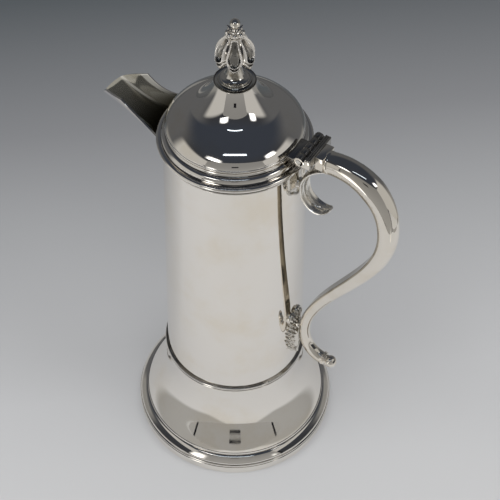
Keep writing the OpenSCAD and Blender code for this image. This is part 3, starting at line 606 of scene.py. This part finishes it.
tongue = [(1, -0.04), (0.97, 0.1), (0.88, 0.15), (0.6, 0.1), (0.3, 0.12), (0.12, 0.22), (0.04, 0.3),
          (-0.04, 0.3), (-0.12, 0.22), (-0.3, 0.12), (-0.6, 0.1), (-0.88, 0.15), (-0.97, 0.1), (-1, -0.04),
          (-0.7, -0.2), (-0.3, -0.28), (0.3, -0.28), (0.7, -0.2)]
scroll = swept("curled_tongue", tongue, drawn([
    (59.5, 246.4, 4.2), (54, 244.2, 4.7), (48.6, 240.4, 4.9), (44.6, 235.2, 4.9), (42.7, 230, 4.9),
    (42.5, 224.6, 4.9), (44, 219.2, 4.9), (47.2, 215.3, 4.9), (51.2, 213.4, 4.8), (55, 213.6, 4.3),
    (57.8, 215.3, 3.2), (58.9, 216.8, 1.6)
], 8))
bpy.ops.object.shade_smooth_by_angle(angle=math.radians(60))
satin_tongue = silver("satin_tongue_silver", (0.93, 0.9, 0.84), (0.8, 0.75, 0.66), 0.2, 0.34, 90, 0.05)
scroll.data.materials.append(satin_tongue)
placed(scroll, "vessel", "handle_silver", "upper_scroll")


# Handle mounts: two castings soldered to the drum. The upper one is a lobed tongue under the rim;
# the lower one a leaf between two small volutes. Each has a boss that carries the handle.
def relief(name, half, low, high, rows, height):
    """A casting on the drum's side: height gives how far it stands off the wall at a place, in mm."""
    bpy.ops.object.select_all(action="DESELECT")
    bpy.ops.mesh.primitive_grid_add(x_subdivisions=rows[0], y_subdivisions=rows[1], size=2)
    piece = bpy.context.object
    piece.name = piece.data.name = name
    for vertex in piece.data.vertices:
        across, up = half * vertex.co.x, (low + high) / 2 + (high - low) / 2 * vertex.co.y
        off = height(across, up)
        vertex.select = off <= -0.45
        wall = drum_low_r + (drum_top_r - drum_low_r) * (up - girdle_z) / (mouth_z - girdle_z) + off
        angle = across / (wall - off)
        vertex.co = (wall * math.cos(angle) / 1000, wall * math.sin(angle) / 1000, up / 1000)
    for edge in piece.data.edges:
        edge.select = all(piece.data.vertices[v].select for v in edge.vertices)
    for face in piece.data.polygons:
        face.select = all(piece.data.vertices[v].select for v in face.vertices)
    bpy.ops.object.mode_set(mode="EDIT")
    bpy.ops.mesh.select_mode(type="FACE")
    bpy.ops.mesh.delete(type="FACE")
    bpy.ops.mesh.select_mode(type="VERT")
    bpy.ops.mesh.select_all(action="SELECT")
    bpy.ops.mesh.delete_loose()
    bpy.ops.object.mode_set(mode="OBJECT")
    bpy.ops.object.shade_smooth()
    return piece


def stepped(value, first, last):
    """0 below the first value, 1 above the last and smooth between."""
    t = min(1, max(0, (value - first) / (last - first)))
    return t * t * (3 - 2 * t)


def upper_shape(across, up):
    """How far the upper mount's lobed tongue stands off the wall, in mm."""
    rise = up - 225.4
    reach = math.hypot(across, min(0, rise))
    lobes = 8.4 + 0.7 * math.cos(5 * math.atan2(across, -rise)) if rise < 0 else 8.4 + 0.03 * rise
    inward = lobes - (reach if rise < 0 else abs(across))
    if inward < 0:
        return -0.5
    border = 1.5 * stepped(inward, 0, 0.6) - 0.9 * stepped(inward, 1.1, 2.2)
    return border - 0.5 + 1.1 * stepped(inward, 2.6, 7.5)


def lower_shape(across, up):
    """How far the lower mount's volutes and veined leaf stand off the wall, in mm."""
    side = abs(across)
    best = -0.5
    round_x, round_z = side - 3.3, up - 114.6
    reach = math.hypot(round_x, round_z)
    if reach < 4:
        turn = math.atan2(round_z, round_x)
        coil = math.cos(2 * math.pi * (reach / 1.9 - turn / (2 * math.pi)))
        best = -0.5 + 2.6 * stepped(4 - reach, 0, 0.8) + 0.8 * coil * stepped(4 - reach, 0.3, 0.9)
    along = (up - 79.8) / 34
    if 0 < along < 1:
        lobe = 1 + 0.2 * math.sin(2 * math.pi * (up - 79.8 + 0.3 * side) / 7.4)
        width = 8 * lobe * math.sin(math.pi * min(0.5, 0.85 * along ** 0.7))
        width *= 1 - 0.45 * stepped(along, 0.55, 1)
        if side < width:
            share = side / width
            veins = 0.8 * math.cos(2 * math.pi * (up - 1.3 * side) / 3.7) * stepped(share, 0.1, 0.5)
            rib = 1.3 * math.exp(-(side / 1.3) ** 2)
            leaf = -0.5 + 2.7 * stepped(1 - share, 0, 0.4) + (veins + rib) * stepped(1 - share, 0, 0.2)
            best = max(best, leaf)
    return best


def boss(name, low_x, high_x, radius, height):
    """A short turned boss along the handle's way, waisted in its middle."""
    piece = turned(name, [
        (0, low_x), (radius * 1.1, low_x), (radius * 1.1, low_x + 0.5), (radius * 0.8, (low_x + high_x) / 2),
        (radius, high_x - 0.5), (radius, high_x), (0, high_x), (0, low_x)
    ], 48)
    piece.rotation_euler = (0, math.pi / 2, 0)
    piece.location = (0, 0, height / 1000)
    bpy.ops.object.transform_apply()
    return piece


cast_silver = worked_silver("cast_silver", (0.84, 0.8, 0.73), (0.16, 0.14, 0.105), 240, 0.56, 0.74)
upper_mount = joined("upper_tongue_mount", [
    relief("tongue", 9.4, 215.8, 234.3, (64, 64), upper_shape), boss("neck", 38.4, 42.4, 3, 225.4)])
upper_mount.data.materials.append(cast_silver)
placed(upper_mount, "vessel", "cast_silver", "upper_handle_mount")
lower_mount = joined("lower_leaf_mount", [
    relief("leaf", 11.8, 79, 120, (110, 190), lower_shape), boss("stalk", 41.6, 47.2, 2.8, 107.5)])
lower_mount.data.materials.append(cast_silver)
placed(lower_mount, "vessel", "cast_silver", "lower_handle_mount")


# Bud at the handle's tail: a small casting with a collar and two rings behind a rounded end.
# It is turned, soldered on and polished with the handle.
bud = turned("tail_bud_casting", [
    (0, 0), (3.7, 0), *arc((3.7, 0.6), 0.6, -80, 80, 6), *arc((3.6, 1.7), 0.5, -70, 70, 5),
    (3.1, 2.4), (2.9, 2.9), *arc((0, 5.4), 3.75, -36, 88, 18), (0, 9.15), (0, 0)
], 64)
bud.rotation_euler = (0, math.pi / 2, 0)
bud.location = (0.0628, 0, 0.0867)
bpy.ops.object.transform_apply()
bud.data.materials.append(polished_handle)
placed(bud, "vessel", "handle_silver", "tail_bud")


# Lid edge: a moulded ring, seamed from drawn wire, with a flange that sits on the rim, a quarter
# round, a hollow band and the bead on which the dome stands.
lid_edge = turned("lid_moulding", [
    (34, 240.3), (38.35, 240.3), (38.6, 240.5), (38.6, 240.95), (38.35, 241.1),
    *arc((35.55, 241.15), 2.8, 2, 80, 12), (35.75, 244.2), *arc((37.5, 245.5), 1.95, 212, 152, 8),
    *arc((35.6, 247.5), 0.8, -60, 90, 8), (35.2, 248.3), (34, 248.3), (34, 240.3)
])
# Painted shade darkens the grooves of the lid's edge.
lid_edge.data.materials.append(
    grooved("lid_edge_silver", (0.94, 0.9, 0.84), (0.12, 0.105, 0.085), (241.1, 244.1, 246.8), 0.45))
placed(lid_edge, "lid", "moulding_silver", "lid_edge")


# Bezel: a tapering collar of sheet soldered under the lid. It drops into the mouth and keeps the lid
# true, and its silver is darker and duller, like the vessel's floor.
dressed("lid_bezel", darker_inner_silver)


# Dome: the lid's cover, raised from one sheet. Its side swells over a low shoulder and then sweeps up
# in a hollow curve to the flat seat of the finial.
dome_curve = (bend([(36, 248.3), (36, 250.7), (29.49, 256.99), (22.6, 259.5)], 48)
              + bend([(22.6, 259.5), (19.71, 260.55), (12.51, 268.52), (10.3, 275.9)], 48, 1))
dome_inside = [(max(1.7, r - 0.95), z - 0.35) for r, z in reversed(dome_curve[4:])]
dome = turned("dome_shell", [
    *dome_curve, (1.6, 275.9), (1.6, 274.9), *dome_inside, (35, 248.3), (36, 248.3)
], 256)
dome.data.materials.append(raised_silver)
placed(dome, "lid", "sheet_silver", "lid_dome")


# Hinge, moving side: a short plate soldered to the lid's edge, with the two knuckles that turn on the
# pin between the other three.
leaf_plate = block("plate", (35.2, -10.8, 247.5), (40.6, 10.8, 249.7))
for vertex in leaf_plate.data.vertices:
    vertex.select = vertex.co.x < 0.036
bpy.ops.object.mode_set(mode="EDIT")
bpy.ops.transform.resize(value=(1, 0.72, 0.5), center_override=(0.0352, 0, 0.2475))
bpy.ops.object.mode_set(mode="OBJECT")
eased(leaf_plate, 0.4)
tabs = [web(k, (39.8, 248.9), (42.6, 250.5)) for k in (1, 3)]
hinge_moving = joined("hinge_moving_leaf", [leaf_plate, *tabs, *[knuckle(k) for k in (1, 3)]])
bpy.data.objects.remove(end_knuckle)
# The moving leaf is darkened all over with the same painted shade.
hinge_moving.data.materials.append(hinge_silver)
placed(hinge_moving, "lid", "hinge_silver", "lid_hinge_leaf")


# Finial collar: a thin dished disc of silver between dome and finial, with an upstanding ring round
# its middle. Its silver is a little darker than the other mouldings, and painted shade darkens its dish.
collar = turned("dished_collar", [
    (1.6, 275.9), (10.5, 275.9), *arc((10.45, 276.25), 0.35, -70, 90, 6), (9.9, 276.45),
    *arc((9.1, 276.9), 0.7, -60, -120, 4), (8.2, 276.8), *arc((7.85, 277.3), 0.4, -20, 100, 5),
    (7.3, 277.7), (1.6, 277.7), (1.6, 275.9)
], 128)
collar_silver = grooved("collar_silver", (0.8, 0.77, 0.7), (0.09, 0.08, 0.06), (276.6, 277.0), 0.3)
collar.data.materials.append(collar_silver)
placed(collar, "lid", "moulding_silver", "finial_collar")


# Finial pedestal: a cast and turned trumpet under the leaves. The stud from below draws it down on
# the collar.
pedestal = turned("trumpet_pedestal", [
    (1.6, 277.7), (7.1, 277.7), *arc((7.0, 278.0), 0.3, -60, 90, 5), (6.7, 278.4),
    *bend([(6.7, 278.4), (4.4, 279.6), (3.3, 282.4), (3.2, 289.1)], 20),
    (0, 289.1), (0, 285.3), (1.6, 285.3), (1.6, 277.7)
], 96)
pedestal_silver = worked_silver("pedestal_silver", (0.88, 0.84, 0.77), (0.25, 0.21, 0.15), 160, 0.52, 0.72)
pedestal.data.materials.append(pedestal_silver)
placed(pedestal, "lid", "cast_silver", "finial_pedestal")


# Finial knop: six cast leaves round a stem. Each leaf is a spoon with a thick raised border and a
# second lip behind its end; painted shade darkens the hollows and the stem, and a painted highlight makes the
# borders pale.
def on_spine(spine, ways, way, side, off):
    """Place on a curved leaf of a point on the flat one: way along, side across and off its face, in mm."""
    i = min(len(ways) - 2, max(0, sum(w <= way for w in ways) - 1))
    t = (way - ways[i]) / (ways[i + 1] - ways[i])
    a, b = spine[i], spine[i + 1]
    run = (b[0] - a[0], b[1] - a[1])
    length = math.hypot(*run)
    out = (-run[1] / length, run[0] / length)
    radius = a[0] + t * run[0] + out[0] * off - side * side / 15
    return Vector((radius, side, a[1] + t * run[1] + out[1] * off)) / 1000


def leaf(spine, half, sunk, thick, dim):
    """One leaf, shaped flat as a drop with a raised border and then bent down over the stem along a spine."""
    ways = [0.0]
    for here, there in zip(spine, spine[1:]):
        ways.append(ways[-1] + math.hypot(there[0] - here[0], there[1] - here[1]))
    length = ways[-1]
    bpy.ops.object.select_all(action="DESELECT")
    bpy.ops.mesh.primitive_circle_add(vertices=44, radius=0.001, fill_type="NGON")
    piece = bpy.context.object
    for vertex in piece.data.vertices:
        turn = math.atan2(vertex.co.x, -vertex.co.y)
        share = (1 + math.cos(turn)) / 2
        wide = 0.42 + 0.58 * stepped(share, 0.05, 0.75)
        wide *= math.sqrt(max(0, 1 - max(0, (share - 0.74) / 0.26) ** 2)) * min(1, share / 0.02)
        vertex.co = (length * share / 1000, math.copysign(half * wide, math.sin(turn)) / 1000, 0)
    take_all()
    centre = (length * 0.74 / 1000, 0, 0)
    last = (1, 1, -thick)
    bpy.ops.transform.translate(value=(0, 0, last[2] / 1000))
    for ring in ((1, 1, -0.8), (0.98, 0.95, 0.3), (0.945, 0.87, 1.05), (0.9, 0.77, 1.2), (0.855, 0.67, 0.6),
                 (0.82, 0.58, -0.6), (0.75, 0.42, -1.3), (0.62, 0.18, -1.4)):
        rise = (ring[2] - last[2]) / 1000
        bpy.ops.mesh.extrude_region_move(TRANSFORM_OT_translate={"value": (0, 0, rise)})
        bpy.ops.transform.resize(value=(ring[0] / last[0], ring[1] / last[1], 1), center_override=centre)
        last = ring
    bpy.ops.mesh.select_all(action="SELECT")
    bpy.ops.mesh.normals_make_consistent(inside=False)
    bpy.ops.object.mode_set(mode="OBJECT")
    smooth = piece.modifiers.new("smooth", "SUBSURF")
    smooth.levels = smooth.render_levels = 2
    bpy.ops.object.modifier_apply(modifier=smooth.name)
    # Painted shade for the scoop and painted highlight for the border are kept on the leaf's points.
    hollow = piece.data.attributes.new("hollow", "FLOAT", "POINT")
    crest = piece.data.attributes.new("crest", "FLOAT", "POINT")
    for vertex in piece.data.vertices:
        way, off = vertex.co.x * 1000, vertex.co.z * 1000
        depth = dim * (1 - stepped(off, -0.9, 0.5))
        hollow.data[vertex.index].value = depth * (0.4 + 0.6 * stepped(way / length, 0.35, 0.75))
        crest.data[vertex.index].value = stepped(off, 0.2, 1)
        vertex.co = on_spine(spine, ways, way, vertex.co.y * 1000, off - sunk)
    bpy.ops.object.shade_smooth()
    return piece


front_spine = (bend([(3, 303.7), (4, 300.4), (8.6, 299.6), (9.1, 293.8)], 40)
               + bend([(9.1, 293.8), (9.2, 292.3), (9.5, 291.5), (10.3, 290.8)], 14, 1))
back_spine = (bend([(3, 303.7), (4, 300.2), (8.6, 298.6), (9.1, 291.2)], 44)
              + bend([(9.1, 291.2), (9.2, 290), (9.4, 289.3), (10.2, 288.8)], 14, 1))
one_leaf = joined("one_leaf", [leaf(front_spine, 4.4, 0.3, 2, 0.85), leaf(back_spine, 4.2, 1.1, 0.6, 0.3)])
leaves = [copied(one_leaf, turn=60 * number) for number in range(6)]
bpy.data.objects.remove(one_leaf)
stem = turned("stem", [
    (0, 288.2), (4.2, 288.2), (6.2, 289.6), (7.2, 292.6), (6.4, 297), (4.6, 300.8), (3, 303.7),
    (0, 303.7), (0, 288.2)
], 64)
# The stem, seen between the leaves, gets nearly the full painted shade.
shade = stem.data.attributes.new("hollow", "FLOAT", "POINT")
for vertex in stem.data.vertices:
    shade.data[vertex.index].value = 0.9
knop = joined("leaf_knop", [*leaves, stem])
knop_silver = worked_silver("knop_silver", (0.95, 0.91, 0.85), (0.3, 0.27, 0.21), 200, 0.58, 0.78)
tree = knop_silver.node_tree
# Painted shade darkens the hollows; the painted highlight lowers the metal on the crests so they show paler.
toned(knop_silver, put(tree, "Attribute", attribute_name="hollow").outputs["Fac"], (0.24, 0.23, 0.21))
crest = put(tree, "Attribute", attribute_name="crest").outputs["Fac"]
crest_highlight = put(tree, "MapRange", {"Value": crest, "To Min": 1, "To Max": 0.74})
feed(tree.nodes["Principled BSDF"], {"Metallic": crest_highlight.outputs["Result"]})
knop.data.materials.append(knop_silver)
placed(knop, "lid", "cast_silver", "finial_leaves")


# Crown: a cast ring of eight beads round a short neck, with six small pointed leaf tips above it.
# It is soldered on top of the leaves and shares their silver.
crown_neck = turned("crown_neck", [
    (0, 303.7), (3.2, 303.7), (3.3, 304.4), (2.9, 306.2), (2.2, 306.9), (2.05, 308.1), (0, 308.1), (0, 303.7)
], 64)
bpy.ops.object.select_all(action="DESELECT")
bpy.ops.mesh.primitive_uv_sphere_add(segments=24, ring_count=14, radius=0.00125)
bead = bpy.context.object
take_all()
bpy.ops.transform.resize(value=(1, 1, 1.08))
bpy.ops.object.mode_set(mode="OBJECT")
bpy.ops.object.shade_smooth()
bead_turns = [math.radians(45 * number - 57.5) for number in range(8)]
beads = [copied(bead, (0.0036 * math.cos(turn), 0.0036 * math.sin(turn), 0.30515)) for turn in bead_turns]
bpy.data.objects.remove(bead)
bpy.ops.object.select_all(action="DESELECT")
bpy.ops.mesh.primitive_cone_add(vertices=16, radius1=0.0012, radius2=0.0002, depth=0.0032,
                                location=(0.003, 0, 0.3072), rotation=(0, math.radians(60), 0))
tip = bpy.context.object
bpy.ops.object.transform_apply()
take_all()
bpy.ops.transform.resize(value=(1, 1.3, 0.6), center_override=(0.0034, 0, 0.3072))
bpy.ops.object.mode_set(mode="OBJECT")
eased(tip, 0.12, 2)
tips = [copied(tip, turn=60 * number + 2.5) for number in range(6)]
bpy.data.objects.remove(tip)
crown = joined("bead_crown", [crown_neck, *beads, *tips])
crown.data.materials.append(knop_silver)
placed(crown, "lid", "cast_silver", "finial_beads")


# Ball: a small turned ball of silver, soldered on the crown's short neck. It closes the finial, and
# handling has left it softer than the mirror-bright sheet.
ball = turned("turned_ball", [
    (0, 308.0), (1.5, 308.0), *arc((0, 310.18), 2.6, -52, 88, 24), (0, 312.78), (0, 308.0)
], 64)
ball.data.materials.append(silver("ball_silver", (0.97, 0.92, 0.83), (0.9, 0.83, 0.7), 0.16, 0.26, 80, 0.04))
placed(ball, "lid", "cast_silver", "finial_ball")


# Stud and nut: plain turned silver, drawn tight to hold the finial down on the dome from inside.
# They are seen only with the lid open.
for hidden in ("finial_stud", "finial_nut"):
    dressed(hidden, pin_silver)


# The room: a pale sweep of paper, darkened behind the flagon by painted shade, cloth screens and soft
# boxes round its front and sides, and lamps above. The screens and boxes show only in the polished metal.
photo_turn = math.radians(32.5)
bpy.ops.object.select_all(action="DESELECT")
bpy.ops.mesh.primitive_plane_add(size=4, location=(0, 0, 0))
floor = bpy.context.object
floor.name = "paper_sweep"
paper = bpy.data.materials.new("paper")
paper.use_nodes = True
tree = paper.node_tree
turn = put(tree, "Mapping", {
    "Vector": put(tree, "TexCoord").outputs["Object"], "Rotation": (0, 0, math.radians(-40))})
where = put(tree, "SeparateXYZ", {"Vector": turn.outputs["Vector"]}).outputs
# Painted shade: the paper darkens from the front towards the back, as the light falls off.
depth = put(tree, "MapRange", {"Value": where["Y"], "From Min": 0.9, "From Max": -0.3})
shade = put(tree, "ValToRGB", {"Fac": depth.outputs["Result"]})
tones = [(0.0, (0.13, 0.135, 0.142)), (0.367, (0.1, 0.112, 0.122)), (0.525, (0.245, 0.25, 0.262)),
         (0.639, (0.41, 0.415, 0.426)), (0.747, (0.56, 0.564, 0.574)), (0.873, (0.575, 0.576, 0.58)),
         (1.0, (0.55, 0.549, 0.545))]
ramp = shade.color_ramp
while len(ramp.elements) < len(tones):
    ramp.elements.new(0.5)
for element, (at, colour) in zip(ramp.elements, tones):
    element.position = at
    element.color = (*colour, 1)
# Seen in the polished metal only, the paper takes darker strips to each side at a glance: painted shade in
# its reflection.
aside = reckoned(tree, "ABSOLUTE", where["X"])
strip_share = reckoned(tree, "MULTIPLY", ramped(tree, aside, 0.08, 0.11), ramped(tree, aside, 0.36, 0.3))
glance = ramped(tree, put(tree, "LayerWeight").outputs["Facing"], 0.64, 0.74)
strip_shade = reckoned(tree, "MULTIPLY", strip_share, glance)
mirrored_strip_shade = reckoned(tree, "MULTIPLY", strip_shade, put(tree, "LightPath").outputs["Is Glossy Ray"])
feed(tree.nodes["Principled BSDF"], {
    "Base Color": mixed(tree, mirrored_strip_shade, shade.outputs["Color"], (0.33, 0.328, 0.32, 1)),
    "Roughness": 0.9, "Specular IOR Level": 0.1})
floor.data.materials.append(paper)


def screen(name, colour, first, last, low, high, top=None, fall=0, soft=(0.001, 0.001, 0.001)):
    """A glowing card that stands for an upright cloth between two places (to the right, to the front) in m,
    seen only in the polished metal.

    Its last side hangs lower by a fall, and it thins out over a share of its first side, last side and top.
    """
    bpy.ops.object.select_all(action="DESELECT")
    bpy.ops.mesh.primitive_plane_add(size=1)
    piece = bpy.context.object
    piece.name = piece.data.name = name
    wide, deep = last[0] - first[0], last[1] - first[1]
    bpy.ops.object.mode_set(mode="EDIT")
    bpy.ops.transform.resize(value=(math.hypot(wide, deep), high - low, 1))
    bpy.ops.object.mode_set(mode="OBJECT")
    middle = Vector(((first[0] + last[0]) / 2, -(first[1] + last[1]) / 2, (low + high) / 2))
    middle.rotate(Euler((0, 0, photo_turn)))
    piece.rotation_euler = (math.pi / 2, 0, photo_turn - math.atan2(deep, wide))
    piece.location = middle
    bpy.ops.object.transform_apply()
    for vertex in piece.data.vertices:
        vertex.co.z -= fall * (vertex.index % 2)
    cloth = bpy.data.materials.new(name)
    cloth.use_nodes = True
    tree = cloth.node_tree
    where = put(tree, "SeparateXYZ", {"Vector": put(tree, "TexCoord").outputs["UV"]}).outputs
    sides = reckoned(
        tree, "MULTIPLY", ramped(tree, where["X"], 0, soft[0]), ramped(tree, where["X"], 1, 1 - soft[1]))
    feed(tree.nodes["Principled BSDF"], {
        "Base Color": (0, 0, 0, 1), "Specular IOR Level": 0, "Emission Strength": 1,
        "Emission Color": mixed(tree, ramped(tree, where["Y"], 0, 1), (*colour, 1), (*(top or colour), 1)),
        "Alpha": reckoned(tree, "MULTIPLY", sides, ramped(tree, where["Y"], 1, 1 - soft[2]))})
    piece.data.materials.append(cloth)
    piece.visible_camera = piece.visible_diffuse = piece.visible_shadow = False


black = (0.01, 0.01, 0.012)
# The cloth screens glow with painted light that stands for lit cloth.
screen("front_screen", (0.31, 0.308, 0.3), (-0.28, 0.31), (0.28, 0.31), 0, 0.48, top=(0.222, 0.22, 0.215))
screen("low_slot", black, (-0.031, 0.305), (0.031, 0.305), 0.0235, 0.0285)
screen("high_slot", black, (-0.026, 0.305), (0.026, 0.305), 0.342, 0.38)
screen("front_strip", (1.7, 1.95, 2.25), (-0.27, 0.6), (0.27, 0.6), 1.104, 1.212)
cloth_grey = (0.33, 0.328, 0.32)
cloth_pale = (0.47, 0.463, 0.446)
cloth_dim = (0.235, 0.233, 0.225)
for side, hand in ((-1, "left"), (1, "right")):
    screen(hand + "_post", black, (0.272 * side, 0.308), (0.284 * side, 0.3), 0, 0.48)
    screen(hand + "_low_screen", cloth_grey, (0.284 * side, 0.304), (0.42 * side, 0.1), 0, 0.035)
    screen(hand + "_screen", cloth_pale, (0.225 * side, 0.262), (0.2 * side, -0.03), 0.23, 0.44,
           fall=0.08, soft=(0.01, 0.18, 0.14))
    screen(hand + "_back_cloth", cloth_dim, (0.46 * side, 0.09), (0.36 * side, -0.28), 0, 0.26,
           soft=(0.4, 0.2, 0.4))
bright = (4.4, 4.45, 4.5)
faded = (0.45, 0.45, 0.6)
screen("left_softbox", bright, (-0.215, 0.183), (-0.09, 0.267), 0.43, 0.49, soft=faded)
screen("right_softbox", bright, (0.143, 0.143), (0.197, 0.085), 0.357, 0.405, soft=faded)
screen("right_low_box", (0.9, 0.9, 0.88), (0.122, 0.2), (0.145, 0.182), 0.06, 0.15,
       top=(0.7, 0.7, 0.69), soft=faded)
screen("left_low_box", (2.4, 2.4, 2.36), (-0.165, 0.185), (-0.105, 0.228), 0.05, 0.24,
       top=(2, 2, 1.96), soft=faded)


def lamp(name, azimuth, elevation, distance, size, power):
    """A soft lamp that looks at the flagon, at a bearing from the camera's own and a height in degrees."""
    data = bpy.data.lights.new(name, "AREA")
    data.shape = "RECTANGLE"
    data.size, data.size_y = size
    data.energy = power
    holder = bpy.data.objects.new(name, data)
    bpy.context.scene.collection.objects.link(holder)
    bearing = photo_turn + math.radians(azimuth)
    rise = math.radians(elevation)
    way = Vector((math.sin(bearing) * math.cos(rise), -math.cos(bearing) * math.cos(rise), math.sin(rise)))
    holder.location = Vector((0, 0, 0.1)) + way * distance
    holder.rotation_euler = way.to_track_quat("Z", "Y").to_euler()
    holder.visible_camera = holder.visible_glossy = False


lamp("front_lamp", 0, 62, 1.6, (1, 0.6), 6)
lamp("left_lamp", -70, 55, 1.6, (0.8, 0.8), 6)
lamp("right_lamp", 75, 55, 1.6, (0.8, 0.8), 6)

world = bpy.data.worlds.new("room")
bpy.context.scene.world = world
world.use_nodes = True
tree = world.node_tree
turn = put(tree, "Mapping", {
    "Vector": put(tree, "TexCoord").outputs["Generated"], "Rotation": (0, 0, -photo_turn)})
where = put(tree, "SeparateXYZ", {"Vector": turn.outputs["Vector"]}).outputs
path = put(tree, "LightPath").outputs
walls = mixed(tree, ramped(tree, where["Y"], -0.3, 0.4), (0.036, 0.038, 0.044, 1), (0.1, 0.102, 0.107, 1))
room = mixed(tree, ramped(tree, where["Z"], 0.5, 0.8), walls, (0.036, 0.042, 0.056, 1))
mirrored = mixed(tree, path["Is Glossy Ray"], (0.5, 0.5, 0.5, 1), room)
feed(tree.nodes["Background"], {
    "Color": mixed(tree, path["Is Camera Ray"], mirrored, (0.32, 0.325, 0.335, 1))})

camera_data = bpy.data.cameras.new("photo_view")
camera_data.sensor_width = 36
camera_data.lens = 78.117
camera_data.shift_x = 0.03
camera_data.clip_start = 0.01
camera = bpy.data.objects.new("photo_view", camera_data)
bpy.context.scene.collection.objects.link(camera)
camera.location = (0.22024, -0.34571, 0.6278)
camera.rotation_euler = (math.radians(90 - 49.555), 0, photo_turn)
bpy.context.scene.camera = camera
bpy.context.scene.view_settings.view_transform = "Standard"
